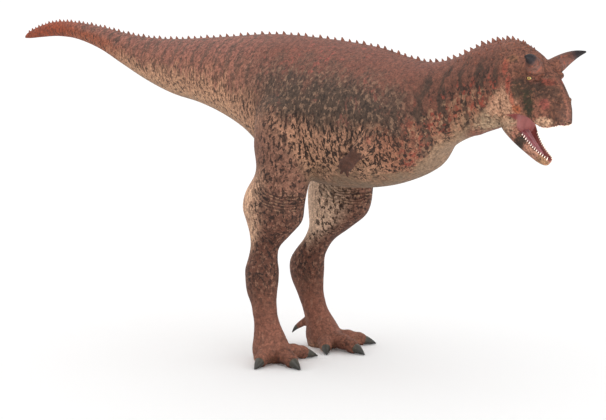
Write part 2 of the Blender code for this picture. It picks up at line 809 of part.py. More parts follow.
def build_arms(parent):
    for letter, side in (("r", -1), ("l", 1)):
        line = [(Vector((p.x, side * p.y, p.z)), radius) for p, radius in ARM_LINE]
        arm = raw_object(f"arm_{letter}", tube(line, ARM_SIDES))
        wrist = line[-2][0]
        forward = HAND_FORWARD.normalized()
        across = forward.cross(Vector((0, -1, 0))).normalized()
        fingers = []
        for degrees in FINGER_SPREAD:
            turn = math.radians(degrees)
            heading = forward * math.cos(turn) + across * math.sin(turn)
            start = wrist + heading * 0.030
            fingers.append(spike(start, start + heading * FINGER_LENGTH, FINGER_RADIUS, 6, 0.012))
        apply_boolean(arm, [raw_object("finger", mesh) for mesh in fingers], "UNION")
        cut_by(arm, [trunk_mesh("torso")])
        finish(arm, "skin", parent)


def footprint_shift():
    """What brings the middle of the whole animal's base to the origin."""
    corners = np.array(
        [obj.matrix_world @ v.co for obj in bpy.data.objects if obj.type == "MESH" for v in obj.data.vertices]
    )
    low, high = corners.min(axis=0), corners.max(axis=0)
    return (-(low[0] + high[0]) / 2, -(low[1] + high[1]) / 2, -low[2])


def main():
    for obj in list(bpy.data.objects):
        bpy.data.objects.remove(obj)
    animal = bpy.data.objects.new("carnotaurus", None)
    bpy.context.scene.collection.objects.link(animal)
    build_trunk(animal)
    build_head(animal)
    build_horns(animal)
    build_eyes(animal)
    build_jaw(animal)
    build_mouth(animal)
    build_legs(animal)
    build_arms(animal)
    bpy.context.view_layer.update()
    animal.location = footprint_shift()


main()
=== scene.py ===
"""A life-size Carnotaurus, dressed: one scaly hide over all its flesh, and its own horns, claws,
teeth, tongue, eyes and back spines.

The tables are the frame's own sizes for a straight animal whose hips stand over x = 0. posed() bends
the neck and tail, and SHIFT carries the animal to where the frame stands.
"""

import json
import math

import bmesh
import bpy
import numpy as np
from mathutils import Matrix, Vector

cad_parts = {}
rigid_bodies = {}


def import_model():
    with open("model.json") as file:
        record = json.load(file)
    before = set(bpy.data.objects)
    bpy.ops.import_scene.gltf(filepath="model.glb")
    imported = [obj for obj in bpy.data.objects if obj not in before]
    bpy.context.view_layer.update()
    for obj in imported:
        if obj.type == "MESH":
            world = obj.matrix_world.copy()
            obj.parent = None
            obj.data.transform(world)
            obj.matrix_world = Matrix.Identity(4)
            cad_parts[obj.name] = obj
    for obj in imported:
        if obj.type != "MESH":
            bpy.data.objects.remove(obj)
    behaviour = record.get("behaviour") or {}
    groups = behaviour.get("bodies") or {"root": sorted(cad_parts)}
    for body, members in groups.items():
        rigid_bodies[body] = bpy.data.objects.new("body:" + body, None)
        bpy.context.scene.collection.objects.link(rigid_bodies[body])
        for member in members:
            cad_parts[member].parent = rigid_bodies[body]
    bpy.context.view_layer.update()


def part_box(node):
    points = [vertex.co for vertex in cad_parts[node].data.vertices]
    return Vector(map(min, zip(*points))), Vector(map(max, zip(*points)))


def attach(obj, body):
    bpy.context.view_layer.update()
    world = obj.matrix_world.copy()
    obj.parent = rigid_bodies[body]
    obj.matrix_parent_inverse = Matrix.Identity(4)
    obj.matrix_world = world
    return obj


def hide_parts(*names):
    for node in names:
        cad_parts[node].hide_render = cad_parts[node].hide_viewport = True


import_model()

# The bend of the neck and tail
NECK_BEND = (1.90, 2.40)
HEAD_YAW = math.radians(8)
HEAD_ROLL = math.radians(4)
ROLL_HEIGHT = 2.60
TAIL_BEND_FROM = -1.2
TAIL_BEND_SPAN = 3.9
TAIL_SWAY = 0.14

# Trunk sections from the tail tip to the skull: x, top, underside, half width, back sharpness
TRUNK = (
    (-5.140, 3.226, 3.188, 0.012, 1.0),
    (-5.060, 3.264, 3.184, 0.030, 1.0),
    (-4.730, 3.332, 3.192, 0.056, 1.0),
    (-4.330, 3.366, 3.190, 0.078, 1.0),
    (-3.870, 3.332, 3.140, 0.094, 1.0),
    (-3.350, 3.256, 3.004, 0.120, 1.0),
    (-2.880, 3.168, 2.820, 0.158, 1.05),
    (-2.420, 3.107, 2.640, 0.200, 1.1),
    (-1.970, 3.081, 2.500, 0.250, 1.15),
    (-1.500, 3.078, 2.406, 0.305, 1.2),
    (-1.080, 3.080, 2.280, 0.350, 1.25),
    (-0.700, 3.086, 2.112, 0.392, 1.25),
    (-0.300, 3.069, 1.850, 0.445, 1.25),
    (0.100, 3.026, 1.695, 0.490, 1.25),
    (0.480, 2.977, 1.658, 0.520, 1.25),
    (0.850, 2.912, 1.676, 0.512, 1.2),
    (1.150, 2.829, 1.742, 0.462, 1.15),
    (1.400, 2.777, 1.848, 0.372, 1.1),
    (1.580, 2.783, 2.024, 0.280, 1.05),
    (1.760, 2.824, 2.118, 0.230, 1.0),
    (1.960, 2.896, 2.178, 0.207, 0.95),
    (2.160, 2.930, 2.236, 0.197, 0.95),
    (2.320, 2.935, 2.300, 0.190, 0.95),
    (2.420, 2.892, 2.330, 0.186, 0.95),
)
WIDEST_LEVEL = 0.44
BELLY_FULLNESS = 0.85
HEAD_BACK = 2.30
HEAD_OVERLAP = 0.05

# Skull sections: x, top, lip, half width, roof boxiness, palate height over the lip
SKULL = (
    (2.300, 2.935, 2.350, 0.190, 0.95, 0.00),
    (2.370, 2.918, 2.344, 0.190, 0.92, 0.00),
    (2.440, 2.882, 2.352, 0.186, 0.90, 0.02),
    (2.500, 2.848, 2.338, 0.176, 0.88, 0.05),
    (2.555, 2.812, 2.320, 0.162, 0.84, 0.06),
    (2.605, 2.766, 2.276, 0.148, 0.78, 0.07),
    (2.655, 2.718, 2.246, 0.134, 0.74, 0.07),
    (2.705, 2.662, 2.240, 0.121, 0.72, 0.06),
    (2.752, 2.596, 2.246, 0.107, 0.74, 0.05),
    (2.792, 2.530, 2.254, 0.092, 0.80, 0.04),
    (2.818, 2.476, 2.264, 0.073, 0.85, 0.03),
    (2.832, 2.438, 2.278, 0.052, 0.85, 0.01),
    (2.839, 2.400, 2.300, 0.028, 0.90, 0.00),
)
SKULL_WIDEST = 0.42
LIP_ROLL = 12
LIP_FULLNESS = 0.6
KEEL_FULLNESS = 0.9
HOLLOW_FROM = 0.74

# The open jaw: its joint, its drop, and distance, rim height, underside, half width, trough depth
JAW_JOINT = (2.285, 2.335)
JAW_DROP = math.radians(41)
JAW = (
    (0.000, 0.045, -0.130, 0.148, 0.030),
    (0.060, 0.036, -0.143, 0.146, 0.040),
    (0.159, 0.010, -0.150, 0.124, 0.048),
    (0.246, -0.016, -0.147, 0.098, 0.046),
    (0.348, -0.029, -0.135, 0.074, 0.040),
    (0.430, -0.026, -0.121, 0.057, 0.034),
    (0.470, -0.020, -0.107, 0.046, 0.026),
    (0.494, -0.022, -0.094, 0.033, 0.014),
    (0.510, -0.036, -0.076, 0.015, 0.000),
)
TONGUE = (
    (0.120, -0.004, 0.052),
    (0.170, -0.004, 0.056),
    (0.250, -0.016, 0.047),
    (0.340, -0.028, 0.036),
    (0.415, -0.032, 0.018),
)
TONGUE_THICKNESS = 0.080
TONGUE_GROOVE = 0.006
LINING_SWEEP = (math.radians(14), math.radians(-52))
LINING_REACH = 0.175
LINING_HOLLOW = 0.030
LINING_HALF = 0.128
LINING_ROOT = 0.02

# How a form's radius falls along its length: the part that it loses, and the curve of its loss
HORN_TAPER = (0.90, 1.12)
CLAW_TAPER = (0.86, 1.25)
SPIKE_TAPER = (0.88, 1.10)

HORN_BASE = Vector((2.615, 0.116, 2.710))
HORN_TIP = Vector((2.735, 0.347, 2.810))
HORN_RADIUS = 0.072
HORN_SAG = 0.022
HORN_START = -0.30
HORN_BOSS = 0.22

EYE = Vector((2.600, 0.148, 2.636))
EYE_RADIUS = 0.028
# Raised forms of the face: centre, half sizes
FACE_FORMS = (
    ((2.610, 0.104, 2.676), (0.080, 0.060, 0.042)),
    ((2.676, 0.090, 2.640), (0.046, 0.036, 0.032)),
    ((2.600, 0.116, 2.602), (0.056, 0.044, 0.024)),
    ((2.420, 0.124, 2.530), (0.096, 0.080, 0.155)),
    ((2.790, 0.048, 2.446), (0.042, 0.034, 0.032)),
)
NOSTRIL = Vector((2.808, 0.080, 2.444))
EAR = Vector((2.400, 0.206, 2.590))

LEG_TOP = 2.60
# Leg sections from the hip down: height, x, outward y, half depth, half width
RIGHT_LEG = (
    (2.640, 0.020, 0.160, 0.240, 0.150),
    (2.400, 0.020, 0.310, 0.340, 0.215),
    (2.050, 0.030, 0.385, 0.335, 0.228),
    (1.800, 0.050, 0.415, 0.295, 0.216),
    (1.600, -0.035, 0.428, 0.330, 0.213),
    (1.450, -0.075, 0.432, 0.345, 0.200),
    (1.330, -0.078, 0.430, 0.312, 0.180),
    (1.200, -0.137, 0.425, 0.225, 0.150),
    (1.080, -0.210, 0.420, 0.157, 0.125),
    (0.960, -0.240, 0.415, 0.156, 0.128),
    (0.860, -0.255, 0.410, 0.180, 0.140),
    (0.760, -0.262, 0.405, 0.177, 0.138),
    (0.640, -0.268, 0.400, 0.164, 0.124),
    (0.520, -0.246, 0.395, 0.130, 0.112),
    (0.360, -0.214, 0.390, 0.124, 0.118),
    (0.220, -0.178, 0.385, 0.164, 0.145),
    (0.110, -0.155, 0.385, 0.200, 0.165),
    (0.030, -0.170, 0.385, 0.172, 0.150),
)
LEFT_LEG = (
    (2.640, 0.020, 0.160, 0.240, 0.150),
    (2.400, 0.020, 0.310, 0.340, 0.215),
    (2.050, 0.040, 0.385, 0.345, 0.228),
    (1.800, 0.040, 0.415, 0.330, 0.220),
    (1.600, -0.032, 0.428, 0.380, 0.215),
    (1.450, -0.058, 0.432, 0.376, 0.200),
    (1.330, -0.093, 0.430, 0.330, 0.185),
    (1.200, -0.183, 0.425, 0.232, 0.155),
    (1.080, -0.310, 0.420, 0.168, 0.130),
    (0.960, -0.418, 0.420, 0.178, 0.130),
    (0.860, -0.478, 0.422, 0.194, 0.142),
    (0.760, -0.491, 0.425, 0.203, 0.140),
    (0.640, -0.484, 0.430, 0.188, 0.126),
    (0.520, -0.450, 0.435, 0.154, 0.114),
    (0.360, -0.385, 0.442, 0.132, 0.124),
    (0.220, -0.305, 0.448, 0.160, 0.150),
    (0.110, -0.272, 0.450, 0.200, 0.166),
    (0.030, -0.285, 0.450, 0.170, 0.146),
)
# Toes: name, root (x, outward y), nail root (x, outward y), root radius, end radius
RIGHT_TOES = (
    ("outer", (-0.13, 0.430), (-0.025, 0.660), 0.085, 0.058),
    ("middle", (-0.05, 0.400), (0.225, 0.465), 0.090, 0.060),
    ("inner", (-0.10, 0.320), (-0.005, 0.065), 0.080, 0.056),
)
LEFT_TOES = (
    ("inner", (-0.21, 0.390), (-0.025, 0.220), 0.080, 0.056),
    ("middle", (-0.17, 0.440), (0.205, 0.405), 0.090, 0.060),
    ("outer", (-0.22, 0.510), (-0.020, 0.775), 0.085, 0.058),
)
LEGS = (("r", -1, RIGHT_LEG, RIGHT_TOES), ("l", 1, LEFT_LEG, LEFT_TOES))
TOE_PADS = 3
PAD_SWELL = 0.07
TOE_ARCH = 0.014
CLAW_LENGTH = 0.118
CLAW_CLEARANCE = 0.006
CLAW_SHARE = 0.84
CLAW_SUNK = 0.012
HALLUX_LEVEL = 0.27
HALLUX_ROOT = Vector((-0.085, -0.050, 0.0))
HALLUX_END = Vector((-0.222, -0.090, -0.098))
HALLUX_RADII = (0.044, 0.030)
HALLUX_CLAW_SHARE = 0.86
HALLUX_CLAW_LENGTH = 0.085
HALLUX_CLAW_BEND = Vector((0.010, 0.0, -0.020))

# Arm: points and radii from shoulder to wrist, and the hand's four fingers
ARM_LINE = (
    (Vector((1.230, 0.300, 2.250)), 0.092),
    (Vector((1.160, 0.390, 2.160)), 0.086),
    (Vector((1.085, 0.470, 2.065)), 0.072),
    (Vector((1.020, 0.510, 1.985)), 0.062),
    (Vector((0.970, 0.524, 1.935)), 0.062),
    (Vector((0.928, 0.528, 1.897)), 0.066),
    (Vector((0.895, 0.526, 1.868)), 0.048),
)
FINGER_RADII = (0.017, 0.017, 0.0165, 0.015, 0.012, 0.005)
FINGER_LENGTH = 0.108
FINGER_SPREAD = (-56, -6, 36, 76)
HAND_FORWARD = Vector((-0.70, 0.0, -0.72))

# Spines along the back: spacing and height at a few places along the animal
SPINE_PITCH = ((-5.0, 0.080), (-2.2, 0.098), (-0.9, 0.104), (0.3, 0.092), (1.5, 0.066), (2.1, 0.052))
SPINE_HEIGHT = ((-5.0, 0.022), (-3.0, 0.030), (0.0, 0.028), (1.5, 0.030), (2.1, 0.040), (2.5, 0.020))
SPINE_FROM = -5.02
SPINE_TO = 2.52
# Rows of knobs beside them: level up the side, first and last x, spacing
KNOB_ROWS = ((0.965, 1.86, 2.46, 0.046), (0.90, 1.80, 2.44, 0.075), (0.80, 1.75, 2.34, 0.090))
KNOB_HEIGHT = 0.013
KNOB_RADIUS = 0.010

UPPER_TEETH = (2.670, 2.800, 8)
LOWER_TEETH = (0.215, 0.490, 14)
TOOTH_LENGTH = 0.013
TOOTH_RADIUS = 0.0068
TOOTH_SUNK = 0.014

# The hide's cells: their size on the body, and how much finer they are on the head, feet and hands
CELL = 0.0248
HEAD_ZOOM = 3.5
HEAD_ZOOM_FROM = (1.90, 2.34)
HEAD_LEVEL = 2.55
FOOT_ZOOM = 1.7
FOOT_ZOOM_FROM = (0.46, 0.22)
# The feet are behind this place. Drawn larger, the jaw would reach down to their level in front
FOOT_BEFORE = 1.0
HAND_ZOOM_AT = Vector((0.90, 0.53, 1.87))
HAND_ZOOM = ((0.0, 0.14, 0.48), (0.0, 0.36, 0.48))


# Reading the tables


def fade(value, zero_at, one_at):
    """0 at one value, 1 at another and an even S between them. Takes numbers or arrays."""
    t = np.clip((value - zero_at) / (one_at - zero_at), 0.0, 1.0)
    return t * t * (3 - 2 * t)


def reading(rows, at):
    """The sizes at one place, on a smooth curve through rows sorted by their first column."""
    table = np.array(rows, float)
    if table[0, 0] > table[-1, 0]:
        table = table[::-1]
    keys = table[:, 0]
    i = int(np.clip(np.searchsorted(keys, at) - 1, 0, len(keys) - 2))
    step = keys[i + 1] - keys[i]
    t = (at - keys[i]) / step

    def slope(k):
        low, high = max(0, k - 1), min(len(keys) - 1, k + 1)
        return (table[high] - table[low]) / (keys[high] - keys[low])

    start, end = table[i], table[i + 1]
    lift = start * (2 * t**3 - 3 * t**2 + 1) + end * (3 * t**2 - 2 * t**3)
    return lift + step * (slope(i) * (t**3 - 2 * t**2 + t) + slope(i + 1) * (t**3 - t**2))


def columns(rows, at, count=400):
    """The sizes at an array of places, one column each."""
    first, last = sorted((rows[0][0], rows[-1][0]))
    keys = np.linspace(first, last, count)
    table = np.array([reading(rows, key) for key in keys])
    return [np.interp(at, keys, table[:, k]) for k in range(table.shape[1])]


def along_table(table, x):
    """The value at one place, on straight lines through a table of (place, value)."""
    keys, values = zip(*table)
    return float(np.interp(x, keys, values))


def power(value, exponent):
    """A power that keeps the sign."""
    return math.copysign(abs(value) ** exponent, value)


def on_side(point, side):
    """A point of the left half, or its mirror image where the side is -1."""
    return Vector((point[0], side * point[1], point[2]))


def folded(points):
    """An array of points with the right half laid on the left one."""
    left = points.copy()
    left[:, 1] = np.abs(left[:, 1])
    return left


def posed(points):
    """Points of the straight animal, where the bent neck and tail carry them."""
    x, y, z = points.T
    tail = np.maximum(0.0, TAIL_BEND_FROM - x) / TAIL_BEND_SPAN
    first, last = NECK_BEND
    t = np.clip((x - first) / (last - first), 0.0, 1.0)
    turn, roll = HEAD_YAW * fade(t, 0, 1), HEAD_ROLL * fade(t, 0, 1)
    drift = (last - first) * HEAD_YAW * (t**3 - t**4 / 2)
    beyond = np.maximum(0.0, x - last)
    up = z - ROLL_HEIGHT
    across = y * np.cos(roll) - up * np.sin(roll)
    height = ROLL_HEIGHT + y * np.sin(roll) + up * np.cos(roll)
    along = np.minimum(x, last) + beyond * math.cos(HEAD_YAW)
    side = across * np.cos(turn) - drift - beyond * math.sin(HEAD_YAW) + TAIL_SWAY * tail**2
    return np.stack([along + across * np.sin(turn), side, height], 1)


def frame_shift():
    """What carries the animal to where the frame stands, from the middle of its right eye."""
    low, high = (np.array(corner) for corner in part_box("eye_r"))
    return (low + high) / 2 - posed(np.array([on_side(EYE, -1)]))[0]


SHIFT = frame_shift()


# Lofts and other plain forms


def section_loop(mesh, points):
    """One closed loop of edges through a section's points."""
    loop = bmesh.ops.create_circle(mesh, cap_ends=False, segments=len(points), radius=1)["verts"]
    for vertex, point in zip(loop, points):
        vertex.co = point
    return list({edge for vertex in loop for edge in vertex.link_edges})


def loft(mesh, sections):
    """Bridges one closed section to the next, closes both ends and adds the form to a mesh."""
    form = bmesh.new()
    loops = [section_loop(form, points) for points in sections]
    layer = form.verts.layers.float.new("along")
    for number, loop in enumerate(loops):
        for edge in loop:
            edge.verts[0][layer] = edge.verts[1][layer] = number / (len(loops) - 1)
    for loop, following in zip(loops, loops[1:]):
        bmesh.ops.bridge_loops(form, edges=loop + following)
    for end in (loops[0], loops[-1]):
        bmesh.ops.contextual_create(form, geom=end)
    data = bpy.data.meshes.new("form")
    form.to_mesh(data)
    form.free()
    mesh.from_mesh(data)
    bpy.data.meshes.remove(data)


def circle_steps(sides, start=0.5):
    """The cosine and sine at even steps round a circle, from a part of a step on."""
    angles = [2 * math.pi * (k + start) / sides for k in range(sides)]
    return [(math.cos(angle), math.sin(angle)) for angle in angles]


def round_sections(line, sides, floor=None):
    """Round sections square to a line of (point, radius), kept above a floor."""
    points = [point for point, _ in line]
    sections = []
    for i, (point, radius) in enumerate(line):
        along = (points[min(i + 1, len(line) - 1)] - points[max(i - 1, 0)]).normalized()
        side = along.cross(Vector((0, 0, 1))).normalized()
        up = side.cross(along)
        section = [point + radius * (side * c + up * s) for c, s in circle_steps(sides, 0)]
        if floor is not None:
            for corner in section:
                corner.z = max(corner.z, floor)
        sections.append(section)
    return sections


def tapered(t, taper):
    """The part of its radius that a form has at the fraction t of its length: (loss, curve)."""
    loss, curve = taper
    return 1 - loss * t**curve


def ball(mesh, centre, sizes, rings=16, sides=24):
    """An ellipsoid."""
    made = bmesh.ops.create_uvsphere(mesh, u_segments=sides, v_segments=rings, radius=1.0)["verts"]
    bmesh.ops.scale(mesh, vec=sizes, verts=made)
    bmesh.ops.translate(mesh, vec=centre, verts=made)


def spike(mesh, base, tip, radius, sides, rings, hook=Vector((0, 0, 0))):
    """A pointed form from base to tip, its tip moved by the hook."""
    line = []
    for i in range(rings + 1):
        t = i / rings
        line.append((base.lerp(tip, t) + hook * t**2, radius * tapered(t, SPIKE_TAPER)))
    loft(mesh, round_sections(line, sides))


def rows_of(items, name):
    """A mesh's vectors as rows of x, y and z."""
    values = np.empty(len(items) * 3)
    items.foreach_get(name, values)
    return values.reshape(-1, 3)


def move(data, points):
    """Moves a mesh's vertices to the given points."""
    data.vertices.foreach_set("co", points.ravel())
    data.update()


def dress(made, finish, slot, *nodes):
    """Keeps the straight animal's coordinates for the material, moves the piece to the frame, and
    says what it rides on and what it replaces. The slot is not used."""
    data = made.data
    points = rows_of(data.vertices, "co")
    straight = data.attributes.new("straight", "FLOAT_VECTOR", "POINT")
    straight.data.foreach_set("vector", points.ravel())
    move(data, posed(points) + SHIFT)
    data.materials.append(finish)
    data.shade_smooth()
    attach(made, "root")
    if nodes:
        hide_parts(*nodes)


def piece(name, mesh, finish, slot=None, *nodes):
    """A finished object from a bmesh in the straight animal's space."""
    bmesh.ops.recalc_face_normals(mesh, faces=mesh.faces)
    data = bpy.data.meshes.new(name)
    mesh.to_mesh(data)
    mesh.free()
    made = bpy.data.objects.new(name, data)
    bpy.context.scene.collection.objects.link(made)
    dress(made, finish, slot, *nodes)
    return made


# The forms under the hide


def trunk_section(x, sides=72):
    """One upright section of the tail, body or neck."""
    _, top, low, half, sharpness = reading(TRUNK, x)
    centre = low + (top - low) * WIDEST_LEVEL
    section = []
    for c, s in circle_steps(sides):
        reach = power(c, sharpness if s > 0 else BELLY_FULLNESS)
        height = centre + s * (top - centre if s > 0 else centre - low)
        section.append(Vector((x, half * reach, height)))
    return section


def hollow(c):
    """How far a section is hollowed between its lips, 0 at them and 1 in the middle."""
    return max(0.0, 1 - (c / HOLLOW_FROM) ** 2)


def skull_section(x, sides=72):
    """One upright section of the head: an arched roof, sides, rolled lips and a hollow palate."""
    _, top, lip, half, boxiness, palate = reading(SKULL, min(x, SKULL[-1][0]))
    centre = lip + (top - lip) * SKULL_WIDEST
    section = []
    for c, s in circle_steps(sides):
        if s > 0:
            section.append(Vector((x, half * power(c, boxiness), centre + s * (top - centre))))
        else:
            height = lip + (centre - lip) * abs(c) ** LIP_ROLL + palate * hollow(c)
            section.append(Vector((x, half * power(c, LIP_FULLNESS), height)))
    return section


def upper_section(x):
    """One section of the trunk or, from the back of the head on, of the skull."""
    return trunk_section(x) if x < HEAD_BACK else skull_section(x)


def jaw_point(along, across, up):
    """A point given along the open jaw, in the straight animal."""
    c, s = math.cos(JAW_DROP), math.sin(JAW_DROP)
    return Vector((JAW_JOINT[0] + along * c + up * s, across, JAW_JOINT[1] - along * s + up * c))


def jaw_section(along, sides=60):
    """One section of the lower jaw: a keel below and a trough between its rims above."""
    _, rim, low, half, trough = reading(JAW, along)
    centre = (rim * 1.6 + low * 0.4) / 2
    section = []
    for c, s in circle_steps(sides):
        if s > 0:
            up = rim - (rim - centre) * abs(c) ** LIP_ROLL - trough * hollow(c)
            section.append(jaw_point(along, half * power(c, LIP_FULLNESS), up))
        else:
            section.append(jaw_point(along, half * power(c, KEEL_FULLNESS), centre + s * (centre - low)))
    return section


def lining_section(turn, sides=30):
    """One spoke of the flesh that fills the corners of the mouth."""
    fraction = (turn - LINING_SWEEP[0]) / (LINING_SWEEP[1] - LINING_SWEEP[0])
    reach = LINING_REACH - LINING_HOLLOW * math.sin(math.pi * fraction)
    section = []
    for c, s in circle_steps(sides):
        out = LINING_ROOT + (reach - LINING_ROOT) * (0.5 + 0.5 * power(c, 0.5))
        ahead, over = out * math.cos(turn), out * math.sin(turn)
        across = LINING_HALF * power(s, 0.5)
        section.append(Vector((JAW_JOINT[0] + ahead, across, JAW_JOINT[1] + over)))
    return section


def tongue_section(along, sides=40):
    """One section of the tongue, with a shallow groove along its middle."""
    _, rise, half = reading(TONGUE, along)
    section = []
    for c, s in circle_steps(sides, 0):
        groove = TONGUE_GROOVE * math.exp(-((c / 0.25) ** 2)) * (s > 0)
        up = rise + TONGUE_THICKNESS / 2 * (s - 1) - groove
        section.append(jaw_point(along, half * c, up))
    return section


def leg_section(rows, level, side, sides=48):
    """One level section of a leg."""
    _, x, y, depth, width = reading(rows, level)
    return [Vector((x + depth * c, side * y + width * s, level)) for c, s in circle_steps(sides, 0)]


def horn_line(side, first, last, count):
    """Points and radii along a horn, from the fraction first to the fraction last of its length."""
    line = []
    for i in range(count):
        t = first + (last - first) * i / (count - 1)
        point = HORN_BASE.lerp(HORN_TIP, t)
        sag = math.sin(math.pi * min(1, t))
        point.z += HORN_SAG * sag
        point.x += 0.5 * HORN_SAG * sag
        line.append((on_side(point, side), HORN_RADIUS * tapered(max(t, 0), HORN_TAPER)))
    return line


def toe_line(side, root, end, big, small, count=25):
    """A toe's middle line, which swells at its pads and comes down to the floor."""
    start = Vector((root[0], side * root[1], big * 1.05))
    stop = Vector((end[0], side * end[1], small * 0.86))
    line = []
    for i in range(count):
        t = i / (count - 1)
        swell = 1 + PAD_SWELL * math.cos(2 * math.pi * TOE_PADS * t + math.pi)
        arch = Vector((0, 0, TOE_ARCH * math.sin(math.pi * t)))
        line.append((start.lerp(stop, t) + arch, (big + (small - big) * t) * swell))
    return line


def hallux_line(rows, side, count=9):
    """The middle line of the small toe at the back of the foot."""
    _, x, y, _, _ = reading(rows, HALLUX_LEVEL)
    joint = Vector((x, side * y, HALLUX_LEVEL))
    start, stop = joint + on_side(HALLUX_ROOT, side), joint + on_side(HALLUX_END, side)
    big, small = HALLUX_RADII
    fractions = [i / (count - 1) for i in range(count)]
    return [(start.lerp(stop, t), big + (small - big) * t) for t in fractions]


def form_trunk(mesh):
    """The tail, body and neck."""
    loft(mesh, [trunk_section(float(x)) for x in np.linspace(TRUNK[0][0], TRUNK[-1][0], 190)])


def form_head(mesh):
    """The skull, closer set towards the snout, with its brows and cheeks and the bosses of the horns."""
    reach = SKULL[-1][0] - HEAD_BACK + HEAD_OVERLAP
    fractions = [1 - (1 - i / 69) ** 1.35 for i in range(70)]
    loft(mesh, [upper_section(HEAD_BACK - HEAD_OVERLAP + reach * t) for t in fractions])
    for centre, sizes in FACE_FORMS:
        for side in (-1, 1):
            ball(mesh, on_side(centre, side), sizes)
    for side in (-1, 1):
        loft(mesh, round_sections(horn_line(side, HORN_START, HORN_BOSS, 12), 36))


def form_jaw(mesh):
    """The lower jaw and the flesh at the back of the mouth."""
    loft(mesh, [jaw_section(float(along)) for along in np.linspace(JAW[0][0], JAW[-1][0], 70)])
    loft(mesh, [lining_section(float(turn)) for turn in np.linspace(*LINING_SWEEP, 24)])


def form_legs(mesh):
    """Both legs with their toes."""
    for _, side, rows, toes in LEGS:
        loft(mesh, [leg_section(rows, float(z), side) for z in np.linspace(LEG_TOP, 0.0, 120)])
        for _, *toe in toes:
            loft(mesh, round_sections(toe_line(side, *toe), 28, 0.0))
        loft(mesh, round_sections(hallux_line(rows, side), 20))


def finger_tips(side):
    """Where the four fingers of one hand end, fanned out from the wrist."""
    wrist = on_side(ARM_LINE[-2][0], side)
    forward = HAND_FORWARD.normalized()
    across = forward.cross(Vector((0, -1, 0))).normalized()
    tips = []
    for degrees in FINGER_SPREAD:
        turn = math.radians(degrees)
        tips.append(wrist + (forward * math.cos(turn) + across * math.sin(turn)) * FINGER_LENGTH)
    return tips


def form_arms(mesh):
    """Both arms with their fingers."""
    count = len(FINGER_RADII) - 1
    for side in (-1, 1):
        line = [(on_side(point, side), radius) for point, radius in ARM_LINE]
        loft(mesh, round_sections(line, 28))
        wrist = line[-2][0]
        for tip in finger_tips(side):
            finger = [(wrist.lerp(tip, 0.2 + 0.8 * i / count), r) for i, r in enumerate(FINGER_RADII)]
            loft(mesh, round_sections(finger, 14))


# Finer cells where the animal is small


def zoom_knots(places, limits, zoom):
    """Places, how much larger the animal is drawn at each, and where that puts it."""
    scale = 1 + (zoom - 1) * fade(places, *limits)
    steps = (scale[1:] + scale[:-1]) / 2 * np.diff(places)
    return places, scale, places[0] + np.concatenate([[0], np.cumsum(steps)])


HEAD_KNOTS = zoom_knots(np.linspace(HEAD_ZOOM_FROM[0] - 0.1, 3.2, 400), HEAD_ZOOM_FROM, HEAD_ZOOM)
FOOT_KNOTS = zoom_knots(np.linspace(FOOT_ZOOM_FROM[0] + 0.1, -0.2, 200), FOOT_ZOOM_FROM, FOOT_ZOOM)
FOOT_KNOTS = [row[::-1] for row in FOOT_KNOTS]


def hand_lens(points, inner, outer):
    """Moves points towards or away from each hand, by their distance from it."""
    for side in (-1, 1):
        centre = np.array(on_side(HAND_ZOOM_AT, side))
        away = points - centre
        distance = np.linalg.norm(away, axis=1)
        near = distance < inner[-1]
        factor = np.interp(distance, inner, outer) / np.maximum(distance, 1e-9)
        points = np.where(near[:, None], centre + away * factor[:, None], points)
    return points


def magnified(points):
    """Straight space with the head, feet and hands drawn larger."""
    x, y, z = hand_lens(points, *HAND_ZOOM).T
    keys, scale, far = HEAD_KNOTS
    s = np.interp(x, keys, scale)
    drawn = np.where(x > keys[0], np.interp(x, keys, far), x)
    out = np.stack([drawn, y * s, HEAD_LEVEL + (z - HEAD_LEVEL) * s], 1)
    keys, scale, low = FOOT_KNOTS
    s = np.interp(out[:, 2], keys, scale)
    foot = (out[:, 2] < keys[-1]) & (x < FOOT_BEFORE)
    feet = np.stack([out[:, 0] * s, out[:, 1] * s, np.interp(out[:, 2], keys, low)], 1)
    return np.where(foot[:, None], feet, out)


def restored(points):
    """The way back from magnified()."""
    keys, scale, low = FOOT_KNOTS
    z = np.interp(points[:, 2], low, keys)
    s = np.interp(z, keys, scale)
    foot = (points[:, 2] < low[-1]) & (points[:, 0] < FOOT_BEFORE)
    feet = np.stack([points[:, 0] / s, points[:, 1] / s, z], 1)
    drawn, y, z = np.where(foot[:, None], feet, points).T
    keys, scale, far = HEAD_KNOTS
    x = np.where(drawn > far[0], np.interp(drawn, far, keys), drawn)
    s = np.interp(x, keys, scale)
    inner, outer = HAND_ZOOM
    return hand_lens(np.stack([x, y / s, HEAD_LEVEL + (z - HEAD_LEVEL) / s], 1), outer, inner)


def apply_modifiers(made):
    """Turns an object's modifiers into its mesh."""
    graph = bpy.context.evaluated_depsgraph_get()
    result = bpy.data.meshes.new_from_object(made.evaluated_get(graph))
    made.modifiers.clear()
    made.data = result


def joined_hide():
    """All the forms as one closed mesh of even cells, in the straight animal's space."""
    mesh = bmesh.new()
    for form in (form_trunk, form_head, form_jaw, form_legs, form_arms):
        form(mesh)
    bmesh.ops.recalc_face_normals(mesh, faces=mesh.faces)
    bmesh.ops.triangulate(mesh, faces=mesh.faces)
    data = bpy.data.meshes.new("hide")
    mesh.to_mesh(data)
    mesh.free()
    move(data, magnified(rows_of(data.vertices, "co")))
    hide = bpy.data.objects.new("hide", data)
    bpy.context.scene.collection.objects.link(hide)
    cells = hide.modifiers.new("cells", "REMESH")
    cells.mode = "VOXEL"
    cells.voxel_size = CELL
    apply_modifiers(hide)
    move(hide.data, restored(rows_of(hide.data.vertices, "co")))
    return hide


